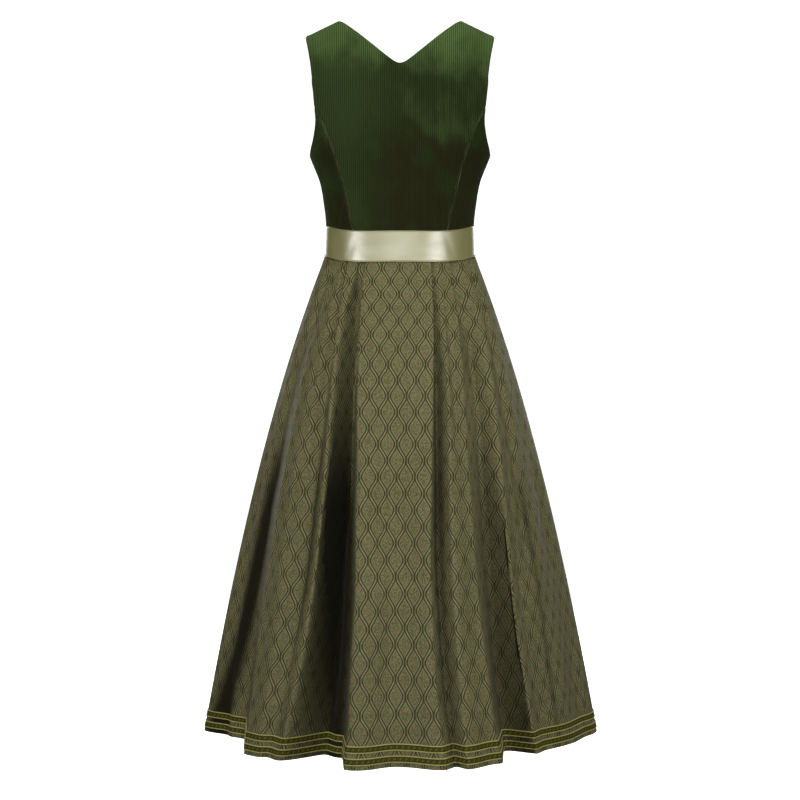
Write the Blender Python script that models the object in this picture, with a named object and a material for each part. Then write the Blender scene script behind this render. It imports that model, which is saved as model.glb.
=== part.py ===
"""Dirndl dress in its worn form, hollow, with no wearer.

Frame: metres, +Z up, the origin midway between the shoulders at the height of the neck points.
-Y is the back of the dress, +Y its front, and +X the wearer's right.
Angles are in degrees around the body: 0 at the centre back, 90 at the right side seam,
180 at the centre front and -90 (or 270) at the left side seam.

Every panel is a wall of cloth. Its middle surface is worked out from a section of the body at
each height, and its outer and inner faces stand half a wall to each side of it.
"""
import math

import bpy
import numpy as np

# ---------------------------------------------------------------- driving sizes, in metres
SEAM_GAP = 0.0003            # between two pieces at a seam
BODICE_WALL = 0.0020         # lined corduroy
SKIRT_WALL = 0.0012          # brocade
SASH_WALL = 0.0012           # doubled satin
TRIM_WALL = 0.0012           # woven braid

NECK_HALF = 0.1130           # neck point to the centre
SHOULDER_HALF = 0.1750       # shoulder tip to the centre
SHOULDER_DROP = 0.0290       # the tip lies this far below the neck point
SHOULDER_ROUND = 0.1200      # height over which chest and back curve in to the shoulder seam
UNDERARM_Z = -0.2480
BACK_V_DEPTH = 0.0951        # neck point down to the tip of the back V
BACK_V_SLOPE = 0.950         # rise of the V for each unit outwards
BACK_V_RADIUS = 0.0120       # rounding at the tip of the V
FRONT_NECK_DEPTH = 0.1720    # neck point down to the front neckline at the centre
FRONT_NECK_POWERS = (1.35, 1.15)

WAIST_Z = -0.4050            # waist seam at the sides
WAIST_DIP_BACK = 0.0190      # the waist seam lies this much lower at the centre back
WAIST_DIP_FRONT = 0.0080
HEM_Z = -1.3090
SKIRT_WAIST_HALF = 0.1265    # half width of the skirt where its flare starts
SKIRT_FLARE = 0.1400         # even part of the flare, metres out for each metre down
SKIRT_HIP = 0.1289           # rounded part of the flare, which fades with SKIRT_HIP_REACH
SKIRT_HIP_REACH = 0.4800
SKIRT_EASE = 0.0070          # fullness held in at the waist seam, which fades with its reach
SKIRT_EASE_REACH = 0.0120
SKIRT_BACK_DEPTH = (0.0925, 0.3300)     # centre back to the side plane, at the waist and the hem
SKIRT_FRONT_DEPTH = (0.0965, 0.3200)

PLEAT_LAYER = 0.0023         # from one layer of a pressed pleat to the next
PLEAT_LAP = 0.0160           # how far the cloth runs back under a pleat's edge at the waist
SHORTEST_STEP = 0.0020       # shortest straight stretch between the two bends of a pleat

SASH_HEIGHT = 0.0565
SASH_RISE = 0.0285           # the sash stands this far above the waist seam
SASH_LAP = 0.0450            # its end laps over its start at the wearer's left front
SASH_LAP_ANGLE = 207.0
SASH_TOP_HALF = (0.1372, 0.0958, 0.0998)      # half width, depth behind, depth in front
SASH_BOTTOM_HALF = (0.1397, 0.0992, 0.1030)

TRIM_BOTTOMS = (0.0075, 0.0270)         # lower edge of each braid above the hem
TRIM_HEIGHT = 0.0115

# ---------------------------------------------------------------- tables
# Sections of the bodice: height, half width, depth behind, depth in front
BODICE_SECTIONS = (
    (-0.430, 0.1340, 0.0930, 0.0970),
    (-0.405, 0.1345, 0.0935, 0.0975),
    (-0.377, 0.1352, 0.0945, 0.0985),
    (-0.345, 0.1385, 0.0965, 0.1005),
    (-0.300, 0.1460, 0.0985, 0.1030),
    (-0.270, 0.1570, 0.1005, 0.1050),
    (-0.248, 0.1656, 0.1020, 0.1055),
    (-0.220, 0.1685, 0.1030, 0.1050),
    (-0.180, 0.1745, 0.1030, 0.1030),
    (-0.120, 0.1850, 0.1010, 0.0980),
    (0.000, 0.1880, 0.0980, 0.0900),
)
# Armholes: height, half width at the edge of the back, half width at the edge of the front
ARMHOLE_EDGES = (
    (-0.248, 0.1656, 0.1656),
    (-0.236, 0.1632, 0.1600),
    (-0.220, 0.1603, 0.1560),
    (-0.190, 0.1578, 0.1515),
    (-0.162, 0.1574, 0.1505),
    (-0.120, 0.1602, 0.1530),
    (-0.075, 0.1660, 0.1610),
    (-0.029, 0.1750, 0.1750),
)
# Princess seams: height, half width on the back, half width on the front
PRINCESS_SEAMS = (
    (-0.430, 0.0760, 0.0700),
    (-0.387, 0.0853, 0.0790),
    (-0.340, 0.0962, 0.0880),
    (-0.282, 0.1097, 0.0960),
    (-0.251, 0.1188, 0.1020),
    (-0.215, 0.1319, 0.1170),
    (-0.190, 0.1425, 0.1320),
    (-0.162, 0.1574, 0.1505),
)
PRINCESS_TOP_Z = -0.1620     # where the princess seams meet the armholes
CHEST_Z = -0.2050            # the chest line at the centre, below the front neckline
ARMHOLE_POWERS = (1.6, 2.0)  # how soon the armhole levels out, behind and in front

BUST_Z = -0.2450             # the cups: height, angle to each side of the front, size
BUST_ANGLE = 38.0
BUST_DEPTH = 0.0210
BUST_SPREAD_Z = 0.0550
BUST_SPREAD_ANGLE = 27.0

# Pressed pleats. The columns are: a name; the angle of the folded edge at the waist, a third of the way
# down and at the hem; how far the edge stands out of the section, how deep the cloth steps in
# beside it and how steep that step is in degrees, each a third of the way down and at the hem;
# the rounding of its bends at the hem; and the side on which the cloth turns under (-1 towards
# smaller angles, +1 towards larger ones).
PLEATS = (
    ("back_left_outer", -57.5, -53.5, -49.0, -0.004, -0.012, 0.016, 0.062, 14.0, 28.0, 0.014, -1),
    ("back_left_middle", -43.2, -31.2, -36.5, 0.004, -0.012, 0.018, 0.008, 46.0, 20.0, 0.012, -1),
    ("back_left_inner", -27.5, -17.6, -13.6, 0.004, 0.009, 0.044, 0.084, 64.0, 68.0, 0.008, -1),
    ("back_right_inner", 24.3, 13.4, 11.5, 0.003, 0.005, 0.030, 0.018, 68.0, 44.0, 0.006, 1),
    ("back_right_middle", 40.4, 29.0, 28.0, -0.001, -0.010, 0.024, 0.070, 28.0, 48.0, 0.013, 1),
    ("back_right_outer", 64.6, 47.8, 46.0, -0.002, -0.032, 0.014, 0.010, 30.0, 20.0, 0.014, 1),
    ("front_right_outer", 115.0, 121.0, 123.0, -0.004, -0.012, 0.020, 0.058, 36.0, 42.0, 0.018, -1),
    ("front_right_middle", 136.0, 141.0, 139.0, -0.002, -0.006, 0.012, 0.010, 44.0, 20.0, 0.018, -1),
    ("front_right_inner", 153.0, 161.0, 165.0, 0.002, 0.006, 0.030, 0.068, 50.0, 60.0, 0.014, -1),
    ("front_left_inner", 206.0, 198.0, 194.0, 0.002, 0.002, 0.022, 0.052, 50.0, 50.0, 0.015, 1),
    ("front_left_middle", 224.0, 222.0, 226.0, -0.002, -0.008, 0.014, 0.012, 46.0, 20.0, 0.018, 1),
    ("front_left_outer", 244.0, 240.0, 237.0, -0.005, -0.010, 0.022, 0.060, 36.0, 46.0, 0.016, 1),
)
# Soft waves between the pleats. The columns are: the same three angles, and how far the cloth
# stands out of the section a third of the way down and at the hem.
WAVES = (
    (-90.0, -90.0, -90.0, 0.000, -0.001),
    (-80.0, -81.0, -79.0, -0.008, -0.046),
    (-46.0, -42.5, -44.0, 0.004, -0.012),
    (-33.0, -28.0, -27.4, -0.058, -0.090),
    (-2.0, -2.0, -2.0, -0.006, -0.024),
    (30.0, 21.0, 17.8, 0.006, 0.010),
    (76.0, 68.0, 69.0, -0.012, -0.027),
    (90.0, 90.0, 90.0, 0.000, 0.001),
    (104.0, 100.0, 101.0, -0.004, -0.014),
    (180.0, 180.0, 181.0, -0.006, -0.022),
    (256.0, 259.0, 256.0, -0.004, -0.012),
    (270.0, 270.0, 270.0, 0.000, -0.001),
)
MIDDLE_SHARE = 0.35          # share of the drop at which the tables' middle angles hold
FREE_SHARE = 0.10  # share of the drop where the folds come free of the sash

# ---------------------------------------------------------------- mesh fineness
SKIRT_DROPS = (0.0, 0.030, 0.066, 0.085, 0.100, 0.130, 0.180, 0.260, 0.370, 0.500, 0.640, 0.780)
PANEL_STEPS = 3
ARC_STEPS = 2
BODICE_ROWS = 9              # from the chest line down to the waist seam
CHEST_ROWS = 6               # above the chest line, closer together near the shoulder
NECK_COLUMNS = 7
SHOULDER_COLUMNS = 3
SIDE_COLUMNS = 6
SASH_COLUMNS = 56

COLOURS = {
    "corduroy": (0.035, 0.062, 0.019, 1.0),
    "brocade": (0.128, 0.123, 0.063, 1.0),
    "satin": (0.50, 0.51, 0.36, 1.0),
    "braid": (0.045, 0.040, 0.004, 1.0),
}
FINISH = {"corduroy": 0.85, "brocade": 0.65, "satin": 0.35, "braid": 0.8}


# ---------------------------------------------------------------- curves
def smooth_at(rows, key, column=1):
    """Value of a column at a key, on a smooth curve through a table that is sorted by its key."""
    keys = [row[0] for row in rows]
    values = [row[column] for row in rows]
    key = min(max(key, keys[0]), keys[-1])
    last = len(keys) - 2
    index = next((i for i in range(last + 1) if key <= keys[i + 1]), last)

    def slope(i):
        low = max(i - 1, 0)
        high = min(i + 1, len(keys) - 1)
        return (values[high] - values[low]) / (keys[high] - keys[low])

    width = keys[index + 1] - keys[index]
    t = (key - keys[index]) / width
    start = values[index] * (2 * t ** 3 - 3 * t ** 2 + 1) + slope(index) * width * (t ** 3 - 2 * t ** 2 + t)
    end = values[index + 1] * (3 * t ** 2 - 2 * t ** 3) + slope(index + 1) * width * (t ** 3 - t ** 2)
    return start + end


def ease(t):
    """Smooth step from 0 to 1."""
    t = min(max(t, 0.0), 1.0)
    return t * t * (3.0 - 2.0 * t)


def mix(a, b, t):
    return a + (b - a) * t


def oval(angle, half_width, back, front):
    """Point of a section at an angle in degrees: an ellipse with its own depth on each side."""
    turn = math.radians(angle)
    depth = back if math.cos(turn) > 0.0 else front
    return np.array((half_width * math.sin(turn), -depth * math.cos(turn)))


def waist_seam_z(angle):
    turn = math.cos(math.radians(angle))
    dip = WAIST_DIP_BACK if turn > 0.0 else WAIST_DIP_FRONT
    return WAIST_Z - dip * ease(abs(turn))


# ---------------------------------------------------------------- walls
def add_piece(name, finish, points, faces):
    """One closed body with its own material, with its faces pointing out."""
    mesh = bpy.data.meshes.new(name)
    points = np.asarray(points, dtype=float)
    corners = points[np.asarray(faces)]
    volume = np.einsum("ij,ij->i", corners[:, 0], np.cross(corners[:, 1], corners[:, 2])).sum()
    if volume < 0.0:
        faces = [face[::-1] for face in faces]
    mesh.from_pydata(points.tolist(), [], faces)
    mesh.update()
    mesh.shade_smooth()
    mesh.set_sharp_from_angle(angle=math.radians(40.0))
    material = bpy.data.materials.new(name + "_" + finish)
    material.use_nodes = True
    shader = material.node_tree.nodes["Principled BSDF"]
    shader.inputs["Base Color"].default_value = COLOURS[finish]
    shader.inputs["Roughness"].default_value = FINISH[finish]
    shader.inputs["Metallic"].default_value = 0.0
    material.diffuse_color = COLOURS[finish]
    mesh.materials.append(material)
    piece = bpy.data.objects.new(name, mesh)
    bpy.context.collection.objects.link(piece)
    return piece


def add_wall(name, finish, outer, inner, ring=False):
    """A wall between two grids of points, open at its edges or closed round as a ring."""
    outer = np.asarray(outer)
    inner = np.asarray(inner)
    rows, columns = outer.shape[:2]
    points = np.concatenate((outer.reshape(-1, 3), inner.reshape(-1, 3)))
    offset = rows * columns
    faces = []

    def quad(a, b, c, d):
        faces.append((a, b, c))
        faces.append((a, c, d))

    spans = columns if ring else columns - 1
    for column in range(spans):
        after = (column + 1) % columns
        for row in range(rows - 1):
            a = row * columns + column
            b = row * columns + after
            c = (row + 1) * columns + after
            d = (row + 1) * columns + column
            quad(a, b, c, d)
            quad(offset + a, offset + d, offset + c, offset + b)
        low = (rows - 1) * columns
        quad(after, column, offset + column, offset + after)
        quad(low + column, low + after, offset + low + after, offset + low + column)
    if not ring:
        for row in range(rows - 1):
            a = row * columns
            b = a + columns
            quad(a, b, offset + b, offset + a)
            a += columns - 1
            b += columns - 1
            quad(b, a, offset + a, offset + b)
    return add_piece(name, finish, points, faces)


# ---------------------------------------------------------------- bodice
def bodice_point(angle, z):
    """Middle surface of the bodice at an angle and a height."""
    half_width = smooth_at(BODICE_SECTIONS, z, 1)
    back = smooth_at(BODICE_SECTIONS, z, 2)
    front = smooth_at(BODICE_SECTIONS, z, 3)
    away = abs((angle % 360.0) - 180.0)
    cup = math.exp(-((away - BUST_ANGLE) / BUST_SPREAD_ANGLE) ** 2 - ((z - BUST_Z) / BUST_SPREAD_Z) ** 2)
    x, y = oval(angle, half_width, back, front)
    y += BUST_DEPTH * cup * ease((90.0 - away) / 45.0)
    slope = SHOULDER_DROP / (SHOULDER_HALF - NECK_HALF)
    below = -slope * max(abs(x) - NECK_HALF, 0.0) - z
    round_in = 1.0 - min(max(below, 0.0) / SHOULDER_ROUND, 1.0)
    return np.array((x, y * math.sqrt(max(1.0 - round_in ** 2, 0.0)), z))


def shoulder_z(x):
    """Height of the shoulder seam; it is level inside the neck point."""
    return -SHOULDER_DROP * max(abs(x) - NECK_HALF, 0.0) / (SHOULDER_HALF - NECK_HALF)


def bodice_normal(angle, z):
    """Outward unit normal of the bodice, from two short steps along its surface."""
    step = 0.001
    here = bodice_point(angle, z)
    if z < PRINCESS_TOP_Z:
        around = bodice_point(angle + 0.5, z) - bodice_point(angle - 0.5, z)
        down = bodice_point(angle, z - step) - here
    else:
        side = 1 if math.cos(math.radians(angle)) > 0.0 else 2
        below = shoulder_z(here[0]) - z
        if below < SEAM_GAP and abs(here[0]) > NECK_HALF + step:
            lean = SHOULDER_DROP / (SHOULDER_HALF - NECK_HALF) * math.copysign(1.0, here[0])
            return np.array((lean, 0.0, 1.0)) / math.hypot(lean, 1.0)

        def slid(x):
            level = shoulder_z(x) - below
            return bodice_point(angle_for(x, level, side), level)

        around = (slid(here[0] + step) - slid(here[0] - step)) * (1.0 if side == 1 else -1.0)
        lower = z - step
        down = bodice_point(angle_for(here[0], lower, side), lower) - here
    normal = np.cross(down, around)
    return normal / np.linalg.norm(normal)


def back_neck_z(x):
    return -BACK_V_DEPTH - BACK_V_SLOPE * BACK_V_RADIUS + BACK_V_SLOPE * math.hypot(x, BACK_V_RADIUS)


def front_neck_z(x):
    across, down = FRONT_NECK_POWERS
    share = max(1.0 - (min(x, NECK_HALF) / NECK_HALF) ** across, 0.0)
    return -FRONT_NECK_DEPTH * share ** (1.0 / down)


def centre_edge(z, side):
    """Half width of a centre panel at a height: the princess seam, and the armhole above it."""
    rows = PRINCESS_SEAMS if z < PRINCESS_TOP_Z else ARMHOLE_EDGES
    return smooth_at(rows, z, side)


def centre_top(share, side):
    """Height at which a centre panel ends, at a share of its half width."""
    neck_z = back_neck_z if side == 1 else front_neck_z
    low, high = -0.240, 0.0
    for _ in range(40):
        z = 0.5 * (low + high)
        x = share * centre_edge(z, side)
        top = neck_z(x) if x < NECK_HALF else shoulder_z(x)
        low, high = (z, high) if z < top else (low, z)
    return low


def angle_for(x, z, side):
    """Angle at which the bodice reaches a given half width, on its back or on its front."""
    turn = math.degrees(math.asin(min(max(x / smooth_at(BODICE_SECTIONS, z, 1), -1.0), 1.0)))
    return turn if side == 1 else 180.0 - turn


def shift_edges(middle, left, right, up, down):
    """Draw a panel's edges in by half a seam's gap where another panel meets it."""
    half = 0.5 * SEAM_GAP
    for flag, edge, inside in ((left, 0, 1), (right, -1, -2)):
        if flag:
            step = middle[:, inside] - middle[:, edge]
            middle[:, edge] += half * step / np.linalg.norm(step, axis=1, keepdims=True)
    for flag, edge, inside in ((up, 0, 1), (down, -1, -2)):
        if flag:
            step = middle[inside] - middle[edge]
            middle[edge] += half * step / np.linalg.norm(step, axis=1, keepdims=True)
    return middle


def bodice_wall(name, places, sign, seams):
    """A wall of the bodice through a grid of angles and heights, mirrored where sign is -1."""
    flip = np.array((sign, 1.0, 1.0))
    middle = np.array([[bodice_point(*place) * flip for place in line] for line in places])
    normals = np.array([[bodice_normal(*place) * flip for place in line] for line in places])
    middle = shift_edges(middle, *seams)
    half = 0.5 * BODICE_WALL * normals
    return add_wall(name, "corduroy", middle + half, middle - half)


def centre_shares(whole):
    """Columns of a centre panel as shares of its half width, with one on the neck point."""
    neck = NECK_HALF / SHOULDER_HALF
    inner = [neck * i / NECK_COLUMNS for i in range(NECK_COLUMNS + 1)]
    outer = [mix(neck, 1.0, i / SHOULDER_COLUMNS) for i in range(1, SHOULDER_COLUMNS + 1)]
    shares = inner + outer
    return [-share for share in reversed(shares[1:])] + shares if whole else shares


def centre_panel(name, side, whole, sign=1):
    """The whole back, or half of the front, between the princess seams and the armholes."""
    columns = []
    for share in centre_shares(whole):
        size = abs(share)
        top = centre_top(size, side)
        chest = mix(CHEST_Z, PRINCESS_TOP_Z, size ** 2)
        start = angle_for(share * centre_edge(WAIST_Z, side), WAIST_Z, side)
        waist = waist_seam_z(start)
        heights = [mix(top, chest, (row / CHEST_ROWS) ** 1.5) for row in range(CHEST_ROWS)]
        heights += [mix(chest, waist, row / BODICE_ROWS) for row in range(BODICE_ROWS + 1)]
        columns.append([(angle_for(share * centre_edge(z, side), z, side), z) for z in heights])
    places = list(zip(*columns))
    return bodice_wall(name, places, sign, (True, True, True, True))


def side_panel(name, side, sign):
    """The piece between a princess seam and a side seam, up to the armhole."""
    start = angle_for(centre_edge(WAIST_Z, side), WAIST_Z, side)
    places = []
    for row in range(BODICE_ROWS + 1):
        line = []
        for column in range(SIDE_COLUMNS + 1):
            share = column / SIDE_COLUMNS
            top = mix(UNDERARM_Z, PRINCESS_TOP_Z, (1.0 - share) ** ARMHOLE_POWERS[side - 1])
            z = mix(top, waist_seam_z(mix(start, 90.0, share)), row / BODICE_ROWS)
            seam = angle_for(smooth_at(PRINCESS_SEAMS, z, side), z, side)
            line.append((mix(seam, 90.0, share), z))
        places.append(line)
    return bodice_wall(name, places, sign, (True, True, False, True))


# ---------------------------------------------------------------- skirt
def flare(drop):
    """Half width of the skirt at a drop below the waist seam."""
    hip = SKIRT_HIP * (1.0 - math.exp(-drop / SKIRT_HIP_REACH))
    held = SKIRT_EASE * math.exp(-drop / SKIRT_EASE_REACH)
    return SKIRT_WAIST_HALF + SKIRT_FLARE * drop + hip + held


def between(at_waist, at_middle, at_hem, share):
    """A value on the curve through its three known places down the skirt."""
    m = MIDDLE_SHARE
    return (at_waist * (share - m) * (share - 1.0) / m + at_middle * share * (share - 1.0) / (m * (m - 1.0))
            + at_hem * share * (share - m) / (1.0 - m))


def stand_off(at_middle, at_hem, share):
    """Distance of a fold off the oval, which starts where the cloth comes free of the sash."""
    return between(0.0, at_middle, at_hem, share) * ease(share / FREE_SHARE)


def bend_radius(bend, share):
    """Radius of a pleat's bends, which is half a layer at the waist."""
    return mix(0.5 * PLEAT_LAYER, bend, share)


class Section:
    """The skirt's middle line at one height, as stations of angle and distance off an oval."""

    def __init__(self, share):
        self.share = share
        full = WAIST_Z - HEM_Z
        grown = (flare(share * full) - flare(0.0)) / (flare(full) - flare(0.0))
        self.half_width = flare(share * full)
        self.back = mix(*SKIRT_BACK_DEPTH, grown)
        self.front = mix(*SKIRT_FRONT_DEPTH, grown)

    def oval(self, angle):
        return oval(angle, self.half_width, self.back, self.front)

    def along(self, angle):
        """Metres along the oval for each degree, as a vector."""
        return (self.oval(angle + 0.25) - self.oval(angle - 0.25)) / 0.5

    def point(self, station):
        angle, out = station
        along = self.along(angle)
        normal = np.array((along[1], -along[0])) / np.linalg.norm(along)
        return self.oval(angle) + out * normal

    def opening(self, closed, at_middle, at_hem):
        """A value that leaves that of a closed pleat a third of the way down."""
        m = MIDDLE_SHARE
        if self.share < m:
            return mix(closed, at_middle, ease(self.share / m))
        return mix(at_middle, at_hem, (self.share - m) / (1.0 - m))

    def step(self, bend, deep_middle, deep_hem, steep_middle, steep_hem):
        """Turn of a pleat's bends, and length of the straight stretch between them."""
        stretches = []
        for deep, steep, share in ((deep_middle, steep_middle, MIDDLE_SHARE), (deep_hem, steep_hem, 1.0)):
            turn = math.radians(steep)
            bends = 2.0 * bend_radius(bend, share) * (1.0 - math.cos(turn))
            length = max((deep - bends) / math.sin(turn), SHORTEST_STEP)
            stretches.append(np.array((math.cos(turn), math.sin(turn))) * length)
        run, fall = self.opening(np.array((-PLEAT_LAP, 0.0)), *stretches)
        return math.atan2(fall, run), math.hypot(run, fall)

    def pleat(self, row):
        """Stations through a pleat: flat over the fold, a bend, the step under it, a bend back."""
        _, waist, middle, hem, out_middle, out_hem, *steps, bend, side = row
        edge = between(waist, middle, hem, self.share)
        lift = stand_off(out_middle, out_hem, self.share)
        turn, straight = self.step(bend, *steps)
        radius = bend_radius(bend, self.share)
        part = turn / ARC_STEPS
        chord = 2.0 * radius * math.sin(0.5 * part)
        into = [(chord, part * (i + 0.5)) for i in range(ARC_STEPS)]
        back = [(chord, turn - heading) for _, heading in into]
        moves = into + [(straight, turn)] + back
        under = -sum(length * math.cos(heading) for length, heading in moves)
        flat = (max(under, 0.0) + PLEAT_LAYER, 0.0)
        reach = np.linalg.norm(self.along(edge))
        stations = [(edge - side * flat[0] / reach, lift)]
        for length, heading in [flat] + moves + [flat]:
            angle, height = stations[-1]
            angle += side * length * math.cos(heading) / reach
            stations.append((angle, height - length * math.sin(heading)))
        return stations[::side]

    def wave(self, row):
        waist, middle, hem, out_middle, out_hem = row
        return [(between(waist, middle, hem, self.share), stand_off(out_middle, out_hem, self.share))]

    def line(self, start, end):
        """Points of the middle line from one side seam to the other."""
        folds = [(row[3], self.pleat(row)) for row in PLEATS] + [(row[2], self.wave(row)) for row in WAVES]
        folds = [stations for hem, stations in sorted(folds, key=lambda fold: fold[0]) if start <= hem <= end]
        line = []
        for before, after in zip(folds, folds[1:]):
            line += before
            (angle, out), (next_angle, next_out) = before[-1], after[0]
            for i in range(1, PANEL_STEPS):
                t = i / PANEL_STEPS
                line.append((mix(angle, next_angle, t), mix(out, next_out, ease(t))))
        line += folds[-1]
        return line


def skirt_middle(start, end):
    """Grid of the skirt's middle surface from one side seam to the other, waist first."""
    full = WAIST_Z - HEM_Z
    marks = [bottom + rise for bottom in reversed(TRIM_BOTTOMS) for rise in (TRIM_HEIGHT, 0.0)]
    drops = list(SKIRT_DROPS) + [full - mark for mark in marks] + [full]
    grid = []
    for drop in drops:
        section = Section(drop / full)
        line = []
        for station in section.line(start, end):
            x, y = section.point(station)
            z = mix(waist_seam_z(station[0]), WAIST_Z, ease(4.0 * drop / full)) - drop
            line.append((x, y, z))
        grid.append(line)
    return shift_edges(np.array(grid), True, True, True, False)


def flat_normals(middle):
    """Level normals of a grid whose rows run round the body from one side seam to the other."""
    along = np.gradient(middle[:, :, :2], axis=1)
    along /= np.linalg.norm(along, axis=2, keepdims=True)
    level = np.stack((along[:, :, 1], -along[:, :, 0]), axis=2)
    before = middle[:, 1:-1, :2] - middle[:, :-2, :2]
    after = middle[:, 2:, :2] - middle[:, 1:-1, :2]
    before /= np.linalg.norm(before, axis=2, keepdims=True)
    after /= np.linalg.norm(after, axis=2, keepdims=True)
    bisector = np.stack(((before + after)[:, :, 1], -(before + after)[:, :, 0]), axis=2)
    bisector /= np.linalg.norm(bisector, axis=2, keepdims=True)
    cosine = np.einsum("ijk,ijk->ij", bisector, np.stack((after[:, :, 1], -after[:, :, 0]), axis=2))
    level[:, 1:-1] = bisector / np.maximum(cosine, 0.5)[:, :, None]
    for edge in (0, -1):
        level[:, edge] = np.stack((np.sign(middle[:, edge, 0]), np.zeros(len(middle))), axis=1)
    return np.concatenate((level, np.zeros(level.shape[:2] + (1,))), axis=2)


def skirt_half(name, start, end):
    """One half of the skirt; returns its middle grid and normals for the braid."""
    middle = skirt_middle(start, end)
    normals = flat_normals(middle)
    half = 0.5 * SKIRT_WALL * normals
    add_wall(name, "brocade", middle + half, middle - half)
    return middle, normals


def hem_trim(name, index, halves):
    """A braid round the hem, made from the skirt's points moved out."""
    top = -2 - 2 * (index + 1) + 1
    rows = slice(top, top + 2)
    inner = SEAM_GAP + 0.5 * SKIRT_WALL
    rings = []
    for out in (inner + TRIM_WALL, inner):
        rings.append(np.concatenate([(middle + out * normals)[rows, :-1] for middle, normals in halves], axis=1))
    return add_wall(name, "braid", rings[0], rings[1], ring=True)


# ---------------------------------------------------------------- sash
def sash():
    """A plain satin band round the waist, its end lapped over its start."""
    lap = math.degrees(SASH_LAP / SASH_TOP_HALF[0])
    lift = SASH_WALL + SEAM_GAP
    faces = []
    for wall_side in (1.0, 0.0):
        grid = []
        for row, sizes in enumerate((SASH_TOP_HALF, SASH_BOTTOM_HALF)):
            line = []
            for column in range(SASH_COLUMNS + 1):
                turned = column / SASH_COLUMNS * (360.0 + lap)
                angle = SASH_LAP_ANGLE + turned
                over = lift * (ease((turned - 360.0 + lap) / lap)) if turned > 360.0 - lap else 0.0
                out = over + wall_side * SASH_WALL
                x, y = oval(angle, sizes[0] + out, sizes[1] + out, sizes[2] + out)
                z = waist_seam_z(angle) + SASH_RISE - row * SASH_HEIGHT
                line.append((x, y, z))
            grid.append(line)
        faces.append(grid)
    return add_wall("waist_sash", "satin", faces[0], faces[1])


def main():
    for old in list(bpy.data.objects):
        bpy.data.objects.remove(old, do_unlink=True)
    centre_panel("back_centre", 1, True)
    for sign, hand in ((1, "right"), (-1, "left")):
        side_panel("back_side_" + hand, 1, sign)
        centre_panel("front_" + hand, 2, False, sign)
        side_panel("front_side_" + hand, 2, sign)
    halves = [skirt_half("skirt_back", -90.0, 90.0), skirt_half("skirt_front", 90.0, 270.0)]
    for index, name in enumerate(("hem_trim_lower", "hem_trim_upper")):
        hem_trim(name, index, halves)
    sash()


if __name__ == "__main__":
    main()
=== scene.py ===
"""Finishes the dirndl dress: cloth shells, weaves, braids, stage, lights and camera.

Frame: metres, +Z up, the origin midway between the shoulders at the height of the neck points.
-Y is the back of the dress, +Y its front, and +X the wearer's right.
Angles are in degrees round the body: 0 at the centre back, 90 at the right side seam,
180 at the centre front and 270 at the left side seam.
"""
import math

import bpy
import numpy as np
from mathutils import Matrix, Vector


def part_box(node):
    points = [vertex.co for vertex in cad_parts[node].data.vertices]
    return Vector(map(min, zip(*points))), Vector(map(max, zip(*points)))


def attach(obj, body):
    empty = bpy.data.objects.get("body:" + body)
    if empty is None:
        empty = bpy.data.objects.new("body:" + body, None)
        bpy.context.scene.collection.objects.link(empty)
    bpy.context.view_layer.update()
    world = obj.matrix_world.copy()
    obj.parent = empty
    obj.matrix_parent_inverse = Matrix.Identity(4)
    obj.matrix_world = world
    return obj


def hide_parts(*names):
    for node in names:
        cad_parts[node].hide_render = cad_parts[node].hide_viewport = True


bl_info = {
    "name": "Dirndl Dress",
    "version": (1, 0, 0),
    "blender": (4, 5, 0),
    "location": "3D View > Sidebar > Dress",
    "description": "Corduroy bodice, satin sash, pleated brocade skirt and hem braids",
    "category": "Add Mesh",
}

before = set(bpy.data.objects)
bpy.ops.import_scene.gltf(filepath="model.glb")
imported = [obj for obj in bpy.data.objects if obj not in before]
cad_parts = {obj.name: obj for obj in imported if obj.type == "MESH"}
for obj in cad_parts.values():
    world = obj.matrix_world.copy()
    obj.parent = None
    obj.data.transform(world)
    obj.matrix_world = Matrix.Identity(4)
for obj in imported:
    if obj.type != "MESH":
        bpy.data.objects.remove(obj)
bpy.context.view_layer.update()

# ---------------------------------------------------------------- form of the dress, in metres
SEAM_GAP = 0.0003            # between two solids
SEWN_GAP = 0.00004           # between two sewn edges, so small that no light shows through
NECK_HALF = 0.1130           # neck point to the centre
SHOULDER_HALF = 0.1750       # shoulder tip to the centre
SHOULDER_DROP = 0.0290
SHOULDER_ROUND = 0.1200      # height over which chest and back curve in to the shoulder seam
UNDERARM_Z = -0.2480
BACK_V_DEPTH = 0.0951        # neck point down to the tip of the back V
BACK_V_SLOPE = 0.950
BACK_V_RADIUS = 0.0120
FRONT_NECK_DEPTH = 0.1720
FRONT_NECK_POWERS = (1.35, 1.15)

WAIST_Z = -0.4050            # waist seam at the sides
WAIST_DIP_BACK = 0.0190
WAIST_DIP_FRONT = 0.0080
HEM_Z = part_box("skirt_back")[0][2]
SKIRT_LENGTH = WAIST_Z - HEM_Z
SKIRT_WAIST_HALF = 0.1265
SKIRT_FLARE = 0.1400
SKIRT_HIP = 0.1289
SKIRT_HIP_REACH = 0.4800
SKIRT_EASE = 0.0070
SKIRT_EASE_REACH = 0.0120
SKIRT_BACK_DEPTH = (0.0925, 0.3300)
SKIRT_FRONT_DEPTH = (0.0965, 0.3200)

PLEAT_LAYER = 0.0023         # from one layer of a closed pleat to the next
PLEAT_LAP = 0.0160           # how far a closed pleat turns under itself
SHORTEST_STEP = 0.0020
DIP_SHARE = 0.25             # share of the drop over which the dip of the waist seam is lost
SLOPE_SHARE = 0.8            # how much of the skirt's widening counts as slope of its cloth
SHARPEST_COSINE = 0.6        # limits how long a normal grows in a sharp bend
SIGHT_MARGIN = 0.0001        # cloth this near to a line of sight doesn't stop it
MIDDLE_SHARE = 0.35          # share of the drop that the tables call a third of the way down
FREE_SHARE = 0.10            # share of the drop where the folds come free of the sash

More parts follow.
